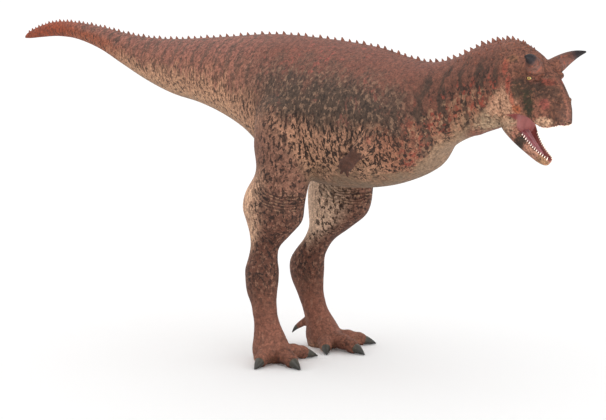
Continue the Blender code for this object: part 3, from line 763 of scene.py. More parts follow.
def even_out(hide, weights, rounds):
    """Evens a mesh out, as far as each point's weight says."""
    group = hide.vertex_groups.new(name="join")
    order = np.round(weights, 2)
    for level in np.unique(order[order > 0]):
        group.add([int(i) for i in np.nonzero(order == level)[0]], float(level), "REPLACE")
    step = hide.modifiers.new("join", "SMOOTH")
    step.factor = 0.5
    step.iterations = rounds
    step.vertex_group = group.name
    apply_modifiers(hide)
    hide.vertex_groups.clear()


def trunk_distance(points):
    """Roughly how far outside the trunk each point is."""
    x, y, z = points.T
    _, top, low, half, _ = columns(TRUNK, x)
    centre = low + (top - low) * WIDEST_LEVEL
    reach = np.where(z > centre, top - centre, centre - low)
    return (np.sqrt((y / half) ** 2 + ((z - centre) / reach) ** 2) - 1) * half


def leg_readings(points):
    """For each point: how far outside the nearer leg, fore and aft in it, and outward in it."""
    x, y, z = points.T
    found = []
    for _, side, rows, _ in LEGS:
        _, middle, outward, depth, width = columns(rows, z)
        fore = (x - middle) / depth
        out = (side * y - outward) / width
        distance = (np.sqrt(fore**2 + out**2) - 1) * width + np.maximum(0, z - LEG_TOP)
        found.append((distance, fore, out))
    return [np.where(y < 0, right, left) for right, left in zip(*found)]


# Working the finished hide


# Muscles, bones and pouches under the hide: centre (x, outward y, z), reach (x, y, z), height
SWELLS = (
    ((0.060, 0.600, 2.340), (0.260, 0.200, 0.300), 0.022),
    ((-0.020, 0.640, 1.760), (0.130, 0.150, 0.240), 0.014),
    ((-0.270, 0.560, 1.520), (0.150, 0.160, 0.190), 0.016),
    ((0.200, 0.430, 1.400), (0.090, 0.130, 0.080), 0.012),
    ((-0.260, 0.550, 0.800), (0.070, 0.050, 0.060), 0.010),
    ((1.230, 0.420, 2.300), (0.170, 0.140, 0.200), 0.018),
    ((1.050, 0.400, 2.600), (0.260, 0.140, 0.110), 0.010),
    ((1.460, 0.120, 1.930), (0.110, 0.160, 0.110), 0.012),
    ((1.950, 0.200, 2.640), (0.280, 0.080, 0.070), 0.010),
    ((2.430, 0.190, 2.500), (0.060, 0.080, 0.100), 0.006),
    ((-0.250, 0.280, 2.960), (0.300, 0.160, 0.090), 0.012),
)
# Furrows of the same kind, pressed in
FURROWS = (
    ((0.330, 0.540, 1.950), (0.060, 0.140, 0.260), 0.014),
    ((0.090, 0.620, 1.560), (0.180, 0.100, 0.035), 0.008),
    ((-0.330, 0.520, 1.080), (0.050, 0.080, 0.160), 0.010),
    ((2.290, 0.200, 2.560), (0.030, 0.080, 0.140), 0.006),
    ((2.640, 0.150, 2.420), (0.070, 0.060, 0.050), 0.005),
    ((2.740, 0.030, 2.600), (0.070, 0.018, 0.060), 0.005),
)
LID_GAPE = (0.024, 0.0125)
LID_THICKNESS = 0.005
EYE_TURN = math.radians(14)
EYE_SINK = 0.014
LID_BACK = 0.03
# How far from the eye the lids blend into the hide, as a multiple of their opening
LID_BLEND = (2.6, 1.7)
# Hollows pressed in from the side: centre, reach along and up, depth
HOLLOWS = (
    (NOSTRIL, (0.020, 0.014), 0.014),
    (EAR, (0.014, 0.022), 0.016),
)
HOLLOW_THROUGH = 0.06
# The folds in front of each knee: the middle that they hang round, their nearest and farthest reach
KNEE_FOLDS_ROUND = (0.26, 1.76)
KNEE_FOLDS = (0.13, 0.36)
FOLD_FLATNESS = 1.5
FOLD_PITCH = 0.031

# Colours of the face: centre x, z, reach x, z, colour, strength
FACE_PAINT = (
    (2.140, 2.330, 0.260, 0.150, "A99682", 1.0),
    (2.290, 2.440, 0.200, 0.150, "CBA48E", 1.0),
    (2.830, 2.360, 0.100, 0.190, "5C3D31", 1.0),
    (2.730, 2.520, 0.110, 0.080, "61463A", 0.9),
    (2.590, 2.585, 0.160, 0.105, "42322A", 0.95),
    (2.520, 2.680, 0.080, 0.050, "70493A", 0.8),
    (2.490, 2.540, 0.050, 0.085, "4A3A2C", 0.9),
    (2.630, 2.640, 0.070, 0.050, "74463A", 0.8),
    (2.360, 2.730, 0.036, 0.075, "9E5243", 0.8),
    (2.405, 2.590, 0.030, 0.080, "A5574A", 0.9),
    (2.290, 2.640, 0.030, 0.110, "84483A", 0.5),
    (2.462, 2.398, 0.045, 0.038, "A9603F", 0.9),
    (2.440, 2.475, 0.022, 0.060, "A85846", 0.7),
    (2.570, 2.440, 0.052, 0.130, "35311F", 1.0),
    (2.705, 2.430, 0.045, 0.050, "90504A", 1.0),
    (2.690, 2.290, 0.085, 0.045, "C9A993", 1.0),
    (2.745, 2.600, 0.070, 0.030, "8C483D", 0.8),
    (2.410, 2.790, 0.060, 0.030, "8C6A4C", 0.5),
)
FACE_GROUND = "85594C"
# Colours along the lower jaw: distance from its joint, reach, colour
JAW_PAINT = (
    (0.000, 0.150, "B59C88"),
    (0.235, 0.055, "3B3026"),
    (0.360, 0.080, "B88D7E"),
    (0.490, 0.080, "AC8A6E"),
)
JAW_GROUND = "A8786B"


def swelled(points, normals):
    """Raises the muscles and presses the furrows in, on both sides of the animal."""
    out = folded(points)
    height = np.zeros(len(points))
    for table, sign in ((SWELLS, 1), (FURROWS, -1)):
        for centre, reach, rise in table:
            height += sign * rise * np.exp(-(((out - centre) / reach) ** 2).sum(axis=1))
    return points + normals * height[:, None]


def eye_axes(side):
    """Along the slit of the lids, up, and out of the eye."""
    along = np.array([math.cos(EYE_TURN), -side * math.sin(EYE_TURN), 0])
    out = np.array([math.sin(EYE_TURN), side * math.cos(EYE_TURN), 0])
    return along, np.array([0.0, 0.0, 1.0]), out


def lidded(points):
    """Wraps the hide round each eyeball as two lids, and sinks it behind the opening between them."""
    for side in (-1, 1):
        along, up, out = eye_axes(side)
        away = points - np.array(on_side(EYE, side))
        u, v, w = away @ along, away @ up, away @ out
        slit = np.sqrt((u / LID_GAPE[0]) ** 2 + (v / LID_GAPE[1]) ** 2)
        lid = np.sqrt(np.maximum(0, (EYE_RADIUS + LID_THICKNESS) ** 2 - u**2 - v**2))
        target = np.where(slit < 1, lid - LID_THICKNESS - EYE_SINK, np.maximum(lid, w))
        share = fade(slit, *LID_BLEND)
        near = (share > 0) & (w > -LID_BACK)
        points = np.where(near[:, None], points + ((target - w) * share)[:, None] * out, points)
    return points


def pierced(points, normals):
    """Presses the nostrils and ears in."""
    out = folded(points)
    for centre, reach, depth in HOLLOWS:
        away = out - np.array(centre)
        near = np.exp(-(((away[:, 0] / reach[0]) ** 2 + (away[:, 2] / reach[1]) ** 2) ** 2))
        near *= np.abs(away[:, 1]) < HOLLOW_THROUGH
        points = points - normals * (near * depth)[:, None]
    return points


def jaw_place(points):
    """How far along the open jaw each point is, and how far above its line."""
    c, s = math.cos(JAW_DROP), math.sin(JAW_DROP)
    ahead, over = points[:, 0] - JAW_JOINT[0], points[:, 2] - JAW_JOINT[1]
    return ahead * c - over * s, ahead * s + over * c


def mouth_share(points):
    """1 on the wet flesh inside the mouth and 0 on the hide."""
    x, y, z = points.T
    _, _, lip, half, _, palate = columns(SKULL, np.clip(x, SKULL[0][0], SKULL[-1][0]))
    along, up = jaw_place(points)
    _, rim, _, jaw_half, trough = columns(JAW, np.clip(along, 0, JAW[-1][0]))
    under_palate = fade(z - lip - palate, 0.018, 0.006)
    over_trough = fade(up - rim + trough, -0.018, -0.006)
    width = 0.87 * np.where(lip - z < up - rim, half, jaw_half)
    inside = fade(width - np.abs(y), 0.0, 0.010)
    return under_palate * over_trough * inside * (along > 0.02) * fade(x, 2.735, 2.715)


def face_colours(points):
    """The large patches of colour on the head, as linear light for each point."""
    x, y, z = points.T
    # Waves of about 150 and 50 mm, which make the patches' edges ragged
    ragged = 0.21 * np.sin(41 * x + 9 * np.sin(33 * z)) * np.sin(47 * z + 5 * np.sin(39 * x))
    ragged += 0.12 * np.sin(131 * x + 7 * np.sin(83 * z)) * np.sin(117 * z + 6 * np.sin(99 * x))
    side = fade(np.abs(y), 0.0, 0.05)
    colours = np.tile(linear(FACE_GROUND)[:3], (len(points), 1))
    for centre_x, centre_z, reach_x, reach_z, code, strength in FACE_PAINT:
        away = np.hypot((x - centre_x) / reach_x, (z - centre_z) / reach_z) + ragged
        share = (strength * side * fade(away, 1.17, 0.62))[:, None]
        colours = colours * (1 - share) + np.array(linear(code)[:3]) * share
    along, up = jaw_place(points)
    on_jaw = np.tile(linear(JAW_GROUND)[:3], (len(points), 1))
    for middle, reach, code in JAW_PAINT:
        share = fade(np.abs(along - middle) / reach + ragged, 1.1, 0.6)[:, None]
        on_jaw = on_jaw * (1 - share) + np.array(linear(code)[:3]) * share
    jaw = (fade(up, 0.070, 0.040) * fade(along, 0.02, 0.10))[:, None]
    return colours * (1 - jaw) + on_jaw * jaw


def arm_distance(points):
    """How far outside the forearm or hand each point is."""
    left = folded(points)
    forms = [*ARM_LINE[3:], *((tip, 0.05) for tip in finger_tips(1))]
    return np.min([np.linalg.norm(left - np.array(centre), axis=1) - r for centre, r in forms], axis=0)


def hide_shares(points):
    """What each point of the hide is part of, for the pigment: a few shares from 0 to 1."""
    x, y, z = points.T
    _, top, low, _, _ = columns(TRUNK, np.clip(x, TRUNK[0][0], HEAD_BACK))
    from_leg, fore, outward = leg_readings(points)
    knee = np.hypot((x - KNEE_FOLDS_ROUND[0]) / FOLD_FLATNESS, z - KNEE_FOLDS_ROUND[1])
    first, last = KNEE_FOLDS
    folds = fade(knee, first, first + 0.06) * fade(knee, last, last - 0.08)
    # On the chest the dark spots reach far down, so its height is read as more than it is
    chest = 0.20 * np.exp(-(((x - 1.46) / 0.34) ** 2))
    rise = np.clip((z - low) / (top - low), 0, 1)
    # The face begins on a wavy line that leans forward below
    along_face = x + 0.05 * np.sin(7 * z) + 0.9 * np.maximum(0, 2.6 - z)
    beside_body = np.abs(y) > 0.47 - 0.6 * np.maximum(0, x - 1.0)
    return {
        "rise": rise + chest * fade(rise, 0.0, 0.10) * (1 - rise),
        "tail": fade(x, 0.1, -0.9),
        "neck": fade(x, 1.20, 1.65),
        "face": fade(along_face, 2.24, 2.34),
        "leg": fade(trunk_distance(points) - from_leg, 0.02, 0.16) * fade(z, 2.5, 2.2),
        "fore": np.clip(fore * 0.5 + 0.5, 0, 1),
        "inward": fade(-1.4 * outward, 0, 1),
        "arm": fade(arm_distance(points), 0.035, 0.005) * beside_body,
        "mouth": mouth_share(points),
        "folds": folds * fade(fore, -0.45, -0.05) * fade(z, 1.74, 1.66),
        "spine": np.zeros(len(points)),
    }


def keep_shares(data, shares, colours):
    """Keeps the shares and the face's colours on a mesh, for the pigment to read."""
    for name, values in shares.items():
        layer = data.attributes.new(name, "FLOAT", "POINT")
        layer.data.foreach_set("value", np.asarray(values, float))
    layer = data.attributes.new("face_colour", "FLOAT_COLOR", "POINT")
    layer.data.foreach_set("color", np.concatenate([colours, np.ones((len(colours), 1))], 1).ravel())


# Materials


def linear(code):
    """An sRGB hex colour as linear light."""
    levels = [int(code[i : i + 2], 16) / 255 for i in (0, 2, 4)]
    return (*(v / 12.92 if v <= 0.04045 else ((v + 0.055) / 1.055) ** 2.4 for v in levels), 1.0)


def add(tree, kind, out, links=None, stops=(), **settings):
    """Adds a node with its settings, colour stops and inputs, each a socket or a plain value, and
    gives one output."""
    node = tree.nodes.new("ShaderNode" + kind)
    for name, value in settings.items():
        setattr(node, name, value)
    for key, value in (links or {}).items():
        if isinstance(value, bpy.types.NodeSocket):
            tree.links.new(value, node.inputs[key])
        else:
            node.inputs[key].default_value = value
    if stops:
        band = node.color_ramp.elements
        while len(band) < len(stops):
            band.new(0.5)
        for element, (place, code) in zip(band, stops):
            element.position = place
            element.color = linear(code)
    return node.outputs[out]


def masked(tree, values, strength, masks):
    """A strength times its masks, each a value's name, or its name, where it is 0 and where it is 1."""
    share = strength
    for mask in masks:
        if mask not in values:
            name, zero_at, one_at = mask
            links = {"Value": values[name], "From Min": zero_at, "From Max": one_at}
            values[mask] = add(tree, "MapRange", 0, links, interpolation_type="SMOOTHSTEP")
        share = add(tree, "Math", 0, {0: share, 1: values[mask]}, operation="MULTIPLY")
    return share


def layered(tree, ground, values, layers):
    """Lays pigments over a ground, each given as its colour, its strength and its masks."""
    for colour, strength, *masks in layers:
        over = linear(colour) if isinstance(colour, str) else colour
        share = masked(tree, values, strength, masks)
        ground = add(tree, "Mix", 2, {0: share, 6: ground, 7: over}, data_type="RGBA")
    return ground


def blots(tree, at, millimetres, stretch, least, soft, detail, shift):
    """Ragged blots of about one size, drawn out by the stretch, where a noise is above its least."""
    links = {"Vector": at, "Scale": [1.0 / s for s in stretch], "Location": shift}
    drawn = add(tree, "Mapping", 0, links)
    links = {"Vector": drawn, "Scale": 1000 / millimetres, "Detail": detail, "Roughness": 0.6}
    noise = add(tree, "TexNoise", 0, links)
    return masked(tree, {"noise": noise}, 1.0, [("noise", least, least + soft)])


def fresh(name, **levels):
    """A new material, its tree and its shader, with levels that are the same all over."""
    made = bpy.data.materials.new(name)
    made.use_nodes = True
    shader = made.node_tree.nodes["Principled BSDF"]
    for level, value in levels.items():
        shader.inputs[level.replace("_", " ")].default_value = value
    return made, made.node_tree, shader


def surface(tree, shader, colour, height=None):
    """Gives a shader its colour and, where it has relief, its height in metres."""
    tree.links.new(colour, shader.inputs["Base Color"])
    if height is not None:
        relief = add(tree, "Bump", 0, {"Height": height, "Strength": 1.0, "Distance": 1.0})
        tree.links.new(relief, shader.inputs["Normal"])


EVEN = (1.0, 1.0, 1.0)
# Blots of the hide: size in mm, stretch, least noise, softness, detail, shift. The animal's own dots
# are finer, and these are drawn as coarse as they need to be to show from nine metres away
BLOTS = {
    "fleck": (38, (1.0, 1.0, 1.5), 0.53, 0.04, 3.0, (0, 0, 0)),
    "fleck_far": (46, (1.0, 1.0, 1.6), 0.54, 0.05, 3.0, (3, 1, 2)),
    "spot": (30, (1.0, 1.0, 1.4), 0.555, 0.03, 2.0, (7, 2, 1)),
    "streak": (31, (0.85, 1.0, 2.1), 0.530, 0.03, 2.5, (0, 0, 0)),
    "drip": (54, (0.8, 1.0, 3.2), 0.57, 0.03, 3.0, (2, 4, 3)),
    "patch": (260, (1.0, 1.0, 1.3), 0.50, 0.10, 3.0, (5, 0, 1)),
    "freckle": (26, EVEN, 0.54, 0.04, 2.0, (0, 0, 0)),
    "pale_fleck": (30, EVEN, 0.57, 0.04, 2.0, (4, 4, 1)),
}
# Dark bars across the neck and tail: metres apart, and how far the clouds bend them
BAR_PITCH = 0.185
BAR_WAVE = 11.0
# Ground colours from the belly to the back. The two lowest stops, greyer and darker, are painted shade
# under the belly
TORSO_STOPS = (
    (0.00, "8B7867"),
    (0.08, "967B67"),
    (0.14, "BA9680"),
    (0.26, "C69D86"),
    (0.38, "B48C78"),
    (0.46, "6E5648"),
    (0.54, "52443B"),
    (0.68, "54453D"),
    (0.77, "6E5046"),
    (0.87, "82554A"),
    (1.00, "7F5248"),
)
TAIL_STOPS = (
    (0.00, "B19884"),
    (0.12, "D8B398"),
    (0.30, "DCB096"),
    (0.44, "C69B84"),
    (0.58, "A97667"),
    (0.85, "93625A"),
    (1.00, "865A52"),
)
NECK_STOPS = (
    (0.00, "968170"),
    (0.08, "9C8470"),
    (0.17, "A07E6A"),
    (0.28, "8A5C4C"),
    (0.58, "6C483E"),
    (0.74, "744E43"),
    (1.00, "805247"),
)
# Ground colours of the legs by height in metres
LEG_STOPS = (
    (0.00, "94685B"),
    (0.35, "8E5F52"),
    (0.62, "7E5548"),
    (0.80, "6E493D"),
    (1.00, "6E483C"),
)
MOUTH_STOPS = ((0.0, "5A2724"), (1.0, "743935"))
# Places that the layers of pigment below keep to
BARS = ("stripe", 0.0, 0.8)
BACK = ("rise", 0.72, 0.86)
FLANK = (("rise", 0.06, 0.17), ("rise", 0.56, 0.44))
SIDE = (("rise", 0.38, 0.52), ("rise", 0.92, 0.76))
CHEST = (("x", 1.00, 1.35), *FLANK)
LOW_EMBER = (("x", -2.55, -3.35), ("rise", 0.78, 0.50))
EMBER = ("x", -3.55, -4.30)
# Layers of pigment over the ground colours: colour, strength, masks
TORSO_LAYERS = (
    ("925F4C", 0.70, *CHEST),
    ("967C6C", 0.85, *SIDE, "fleck", ("cloud", 0.36, 0.52)),
    ("2E241E", 0.65, *SIDE, "spot"),
    ("29190F", 0.95, *FLANK, "streak"),
    ("27170F", 0.85, *FLANK, "spot"),
    ("2E1F16", 0.85, "spot", "patch", ("rise", 0.00, 0.05), ("rise", 0.22, 0.12)),
    ("94443A", 0.80, *CHEST, "fleck_far", "patch"),
    ("A95A52", 0.75, BACK, "fleck_far", "patch"),
    ("6C463E", 0.35, BACK, "fleck"),
    ("8F5A52", 0.55, *SIDE, "fleck_far", "patch"),
)
TAIL_LAYERS = (
    ("604E46", 0.70, BARS, ("rise", 0.48, 0.64)),
    ("A8746A", 0.75, "fleck", ("rise", 0.35, 0.50)),
    ("48342D", 0.50, "spot", ("rise", 0.45, 0.60)),
    ("3E2A20", 0.80, "spot", ("rise", 0.08, 0.14), ("rise", 0.46, 0.38)),
    ("452F25", 0.75, "streak", ("rise", 0.64, 0.50), ("rise", 0.24, 0.40)),
    ("AE5F43", 0.80, *LOW_EMBER),
    ("4A2C20", 0.80, *LOW_EMBER, "spot"),
    ("AE5433", 0.90, EMBER),
    ("5E3222", 0.60, EMBER, "streak"),
)
NECK_LAYERS = (
    ("41362E", 0.80, BARS, *FLANK),
    ("3E332C", 0.80, BARS, *SIDE),
    ("94483B", 0.75, "fleck_far", ("rise", 0.18, 0.30), ("rise", 0.74, 0.56)),
    ("A98A74", 0.60, "fleck", *FLANK),
    ("2E2019", 0.85, "spot", ("rise", 0.05, 0.14), ("rise", 0.80, 0.60)),
    ("7E6B5A", 0.35, "drip", ("rise", 0.24, 0.12)),
)
LEG_LAYERS = (
    ("906A5D", 0.90, ("z", 1.20, 1.65)),
    ("EFCCB4", 0.98, ("fore", 0.66, 0.30), ("swayed", 1.16, 1.52), ("z", 1.90, 1.60)),
    ("A88272", 0.62, "fleck", ("z", 0.45, 0.80)),
    ("FFE6D4", 0.95, "inward", ("swayed", 1.20, 1.50), ("fore", 0.98, 0.52)),
    ("4E342A", 0.70, "fleck_far", ("z", 0.40, 0.80), ("fore", 0.15, 0.55)),
    ("2E1C15", 0.90, "spot", ("z", 0.50, 0.85), ("fore", 0.15, 0.45)),
    ("A98173", 0.40, "drip", ("z", 0.70, 0.45)),
    ("B08C78", 0.70, ("z", 0.10, 0.02)),
    # On the knee folds the ridges of the ripple are painted lighter, a painted highlight, and its
    # hollows darker, a painted shade
    ("B5977F", 0.70, "folds", "fleck", ("ripple", 0.30, 0.95)),
    ("3C2820", 0.60, "folds", ("ripple", 0.20, -0.80)),
)
FACE_LAYERS = (
    ("3E281F", 0.62, "freckle"),
    ("B07C64", 0.25, "pale_fleck"),
)
# What the bright studio adds is taken off the whole hide
WASH = "D2C4B5"
# Scales and low knobs, mm apart
SCALE_PITCH = 16.0
KNOB_PITCH = 130.0
DRY_ROUGHNESS = 0.74
WET_ROUGHNESS = 0.46
# Relief in metres: scales, low knobs, creases across the legs, folds down the body, ripples at the knee
RELIEF = (
    (-0.0032, "grain"),
    (0.007, ("knob", 0.16, 0.02)),
    (0.014, "crease", "leg"),
    (0.008, "sag", "off_leg"),
    (0.005, "ripple", "folds"),
)


def knee_ripple(tree, curly, speckle):
    """Waves that hang in arcs round the front of each knee."""
    curly_x, _, curly_z = (add(tree, "SeparateXYZ", axis, {0: curly}) for axis in range(3))
    flat = add(tree, "CombineXYZ", 0, {0: curly_x, 2: curly_z})
    links = {
        "Vector": flat,
        "Scale": (1 / FOLD_FLATNESS, 1, 1),
        "Location": (-KNEE_FOLDS_ROUND[0] / FOLD_FLATNESS, 0, -KNEE_FOLDS_ROUND[1]),
    }
    away = add(tree, "VectorMath", 1, {0: add(tree, "Mapping", 0, links)}, operation="LENGTH")
    swung = add(tree, "Math", 0, {0: speckle, 1: 5.0}, operation="MULTIPLY")
    links = {0: away, 1: 2 * math.pi / FOLD_PITCH, 2: swung}
    phase = add(tree, "Math", 0, links, operation="MULTIPLY_ADD")
    return add(tree, "Math", 0, {0: phase}, operation="SINE")


def hide_values(tree, at):
    """Everything that the hide's pigments and relief are masked by, under one name each."""
    names = ("rise", "tail", "neck", "face", "leg", "fore", "inward", "arm", "mouth", "folds", "spine")
    values = {name: add(tree, "Attribute", "Fac", attribute_name=name) for name in names}
    values |= {name: blots(tree, at, *row) for name, row in BLOTS.items()}
    values["x"], _, values["z"] = (add(tree, "SeparateXYZ", axis, {0: at}) for axis in range(3))
    values["off_leg"] = add(tree, "Math", 0, {0: 1.0, 1: values["leg"]}, operation="SUBTRACT")
    values["skin"] = add(tree, "Math", 0, {0: 1.0, 1: values["mouth"]}, operation="SUBTRACT")

    # Clouds of about 125 mm make the borders between the colours uneven
    tall = add(tree, "Mapping", 0, {"Vector": at, "Scale": (1.0, 1.0, 0.42)})
    links = {"Vector": tall, "Scale": 1000 / 125.0, "Detail": 5.0, "Roughness": 0.7}
    cloud = values["cloud"] = add(tree, "TexNoise", 0, links)
    lifted = add(tree, "Math", 0, {0: cloud, 1: 0.62, 2: values["rise"]}, operation="MULTIPLY_ADD")
    values["rise"] = add(tree, "Math", 0, {0: lifted, 1: 0.31}, operation="SUBTRACT")
    links = {0: cloud, 1: 0.5, 2: values["z"]}
    values["swayed"] = add(tree, "Math", 0, links, operation="MULTIPLY_ADD")
    wave = add(tree, "Math", 0, {0: cloud, 1: BAR_WAVE}, operation="MULTIPLY")
    links = {0: values["x"], 1: 2 * math.pi / BAR_PITCH, 2: wave}
    turns = add(tree, "Math", 0, links, operation="MULTIPLY_ADD")
    values["stripe"] = add(tree, "Math", 0, {0: turns}, operation="SINE")

    # Speckles of 34 mm, the scales and the knobs
    links = {"Vector": at, "Scale": 1000 / 34, "Detail": 3.0, "Roughness": 0.7}
    values["speckle"] = add(tree, "TexNoise", 0, links)
    values["grain"] = add(tree, "TexVoronoi", 0, {"Vector": at, "Scale": 1000 / SCALE_PITCH})
    values["knob"] = add(tree, "TexVoronoi", 0, {"Vector": at, "Scale": 1000 / KNOB_PITCH})

    # Bent space, so that no crease runs straight, and the creases in it
    bent = add(tree, "TexNoise", 1, {"Vector": at, "Scale": 9.0, "Detail": 2.0})
    links = {0: bent, 1: (0.085, 0.085, 0.085), 2: at}
    curly = add(tree, "VectorMath", 0, links, operation="MULTIPLY_ADD")
    values["ripple"] = knee_ripple(tree, curly, values["speckle"])
    creases = (("crease", (0.35, 0.35, 1.6), 22.0, 0.65), ("sag", (1.5, 0.5, 0.35), 15.0, 0.6))
    for name, stretch, to_the_metre, roughness in creases:
        drawn = add(tree, "Mapping", 0, {"Vector": curly, "Scale": stretch})
        links = {"Vector": drawn, "Scale": to_the_metre, "Detail": 4.0, "Roughness": roughness}
        values[name] = add(tree, "TexNoise", 0, links)
    return values


def reptile_hide():
    """Reptile hide: matt, pebbled with small horny scales, with no shine but a faint dry sheen."""
    made, tree, shader = fresh("reptile_hide", Roughness=DRY_ROUGHNESS, Specular_IOR_Level=0.28)
    at = add(tree, "Attribute", "Vector", attribute_name="straight")
    values = hide_values(tree, at)
    coats = []
    for value, stops, layers in (
        ("rise", TORSO_STOPS, TORSO_LAYERS),
        ("rise", TAIL_STOPS, TAIL_LAYERS),
        ("rise", NECK_STOPS, NECK_LAYERS),
        ("z", LEG_STOPS, LEG_LAYERS),
    ):
        ground = add(tree, "ValToRGB", 0, {0: values[value]}, stops)
        coats.append(layered(tree, ground, values, layers))
    torso, tail, neck, leg = coats
    face = add(tree, "Attribute", "Color", attribute_name="face_colour")
    face = layered(tree, face, values, FACE_LAYERS)
    parts = (
        (tail, 1.0, "tail"),
        (neck, 1.0, "neck"),
        (leg, 1.0, "leg"),
        ("56382E", 1.0, "arm"),
        (face, 1.0, "face"),
        ("A56F62", 0.6, "spine"),
    )
    colour = layered(tree, torso, values, parts)
    limits = {"From Min": 0.34, "From Max": 0.66, "To Min": 0.62, "To Max": 1.38}
    level = add(tree, "MapRange", 0, {"Value": values["speckle"], **limits})
    for over in (level, linear(WASH)):
        links = {0: 1.0, 6: colour, 7: over}
        colour = add(tree, "Mix", 2, links, data_type="RGBA", blend_type="MULTIPLY")
    cloud = masked(tree, values, 1.0, [("cloud", 0.3, 0.7)])
    flesh = add(tree, "ValToRGB", 0, {0: cloud}, MOUTH_STOPS)
    outer = (("2C201B", 0.30, ("grain", 0.35, 0.75)), (flesh, 1.0, "mouth"))
    links = {0: values["mouth"], 1: WET_ROUGHNESS - DRY_ROUGHNESS, 2: DRY_ROUGHNESS}
    wet = add(tree, "Math", 0, links, operation="MULTIPLY_ADD")
    tree.links.new(wet, shader.inputs["Roughness"])
    height = 0.0
    for rise, *masks in RELIEF:
        raised = masked(tree, values, rise, (*masks, "skin"))
        height = add(tree, "Math", 0, {0: height, 1: raised}, operation="ADD")
    surface(tree, shader, layered(tree, colour, values, outer), height)
    return made


# From a horn's root to its tip
HORN_STOPS = (
    (0.20, "65443A"),
    (0.48, "5E3B30"),
    (0.60, "3E2925"),
    (0.70, "1E1618"),
    (1.00, "191517"),
)
HORN_ROOT = ("shifted", 0.62, 0.45)
CLAW_STOPS = ((0.0, "40392C"), (0.22, "2A271F"), (1.0, "191814"))
TOOTH_STOPS = ((0.0, "B08478"), (0.4, "DCC8B6"), (1.0, "EDE2D2"))
TONGUE_STOPS = ((0.3, "6C373B"), (0.7, "82494D"))
IRIS_STOPS = ((0.35, "7E6020"), (0.65, "A88834"))


def horn_keratin():
    """Horn keratin: dull, skin-like and mottled at the root, almost black with a faint gloss at the
    tip."""
    made, tree, shader = fresh("horn_keratin", Roughness=0.66, Specular_IOR_Level=0.25)
    along = add(tree, "Attribute", "Fac", attribute_name="along")
    at = add(tree, "Attribute", "Vector", attribute_name="straight")
    ragged = add(tree, "TexNoise", 0, {"Vector": at, "Scale": 30.0, "Detail": 4.0})
    shifted = add(tree, "Math", 0, {0: ragged, 1: 0.30, 2: along}, operation="MULTIPLY_ADD")
    values = {
        "shifted": shifted,
        "ember": blots(tree, at, 30, EVEN, 0.55, 0.05, 2.0, (0, 0, 0)),
        "freckle": blots(tree, at, 26, EVEN, 0.54, 0.04, 2.0, (2, 0, 5)),
        "grain": add(tree, "TexVoronoi", 0, {"Vector": at, "Scale": 1000 / 14.0}),
    }
    ground = add(tree, "ValToRGB", 0, {0: shifted}, HORN_STOPS)
    layers = (("8E4730", 0.55, HORN_ROOT, "ember"), ("35231C", 0.60, HORN_ROOT, "freckle"))
    # Some twenty growth rings half a millimetre deep, and scales of 14 mm on the root
    growth = add(tree, "Math", 0, {0: along, 1: 130.0}, operation="MULTIPLY")
    rings = add(tree, "Math", 0, {0: growth}, operation="SINE")
    scaly = masked(tree, values, -0.002, ("grain", HORN_ROOT))
    height = add(tree, "Math", 0, {0: rings, 1: 0.0005, 2: scaly}, operation="MULTIPLY_ADD")
    surface(tree, shader, layered(tree, ground, values, layers), height)
    return made


def claw_keratin():
    """Claw keratin: dark olive horn with fine ridges and a dull gloss, paler at the root."""
    made, tree, shader = fresh("claw_keratin", Roughness=0.50)
    along = add(tree, "Attribute", "Fac", attribute_name="along")
    at = add(tree, "Attribute", "Vector", attribute_name="straight")
    ground = add(tree, "ValToRGB", 0, {0: along}, CLAW_STOPS)
    worn = blots(tree, at, 22, EVEN, 0.56, 0.10, 3.0, (0, 0, 0))
    fine = add(tree, "TexNoise", 0, {"Vector": at, "Scale": 90.0, "Detail": 3.0})
    values = {"worn": worn, "fine": fine}
    colour = layered(tree, ground, values, [("6E6654", 0.25, "worn")])
    surface(tree, shader, colour, masked(tree, values, 0.0012, ["fine"]))
    return made


def tooth_enamel():
    """Tooth enamel: smooth and glossy, cream at the tip, stained pink-brown where it leaves the gum."""
    made, tree, shader = fresh("tooth_enamel", Roughness=0.26)
    along = add(tree, "Attribute", "Fac", attribute_name="along")
    surface(tree, shader, add(tree, "ValToRGB", 0, {0: along}, TOOTH_STOPS))
    return made


def tongue_flesh():
    """Tongue flesh: wet mauve muscle, glossy, with a coarse velvet of papillae 7 mm apart."""
    made, tree, shader = fresh("tongue_flesh", Roughness=0.34)
    at = add(tree, "Attribute", "Vector", attribute_name="straight")
    cloud = add(tree, "TexNoise", 0, {"Vector": at, "Scale": 22.0, "Detail": 4.0})
    velvet = add(tree, "TexVoronoi", 0, {"Vector": at, "Scale": 1000 / 7.0})
    height = masked(tree, {"velvet": velvet}, -0.0012, ["velvet"])
    surface(tree, shader, add(tree, "ValToRGB", 0, {0: cloud}, TONGUE_STOPS), height)
    return made


def eye_cornea():
    """A wet eyeball: golden iris with fine spokes, a round dark pupil and a glassy cornea."""
    made, tree, shader = fresh("eye_cornea", Roughness=0.08, Coat_Weight=0.8, Coat_Roughness=0.03)
    off = add(tree, "Attribute", "Fac", attribute_name="off_axis")
    at = add(tree, "Attribute", "Vector", attribute_name="straight")
    spokes = add(tree, "TexNoise", 0, {"Vector": at, "Scale": 1000 / 6.25, "Detail": 3.0})
    gold = add(tree, "ValToRGB", 0, {0: spokes}, IRIS_STOPS)
    layers = (("0B0806", 1.0, ("off", 0.19, 0.16)), ("2A1C12", 1.0, ("off", 0.60, 0.80)))
    surface(tree, shader, layered(tree, gold, {"off": off}, layers))
    return made


def studio_paper():
    """Matt white paper, so wide that no edge shows."""
    made, _, _ = fresh("studio_paper", Roughness=0.95, Base_Color=linear("FFFFFF"))
    return made


# The pieces

# The CAD's nodes that the one hide stands for
FLESH = ["tail_tip", "tail_mid", "tail_base", "torso", "neck", "head", "lower_jaw", "mouth_lining"]
FLESH += [f"{form}_{letter}" for letter in "lr" for form in ("thigh", "shank", "foot", "arm")]
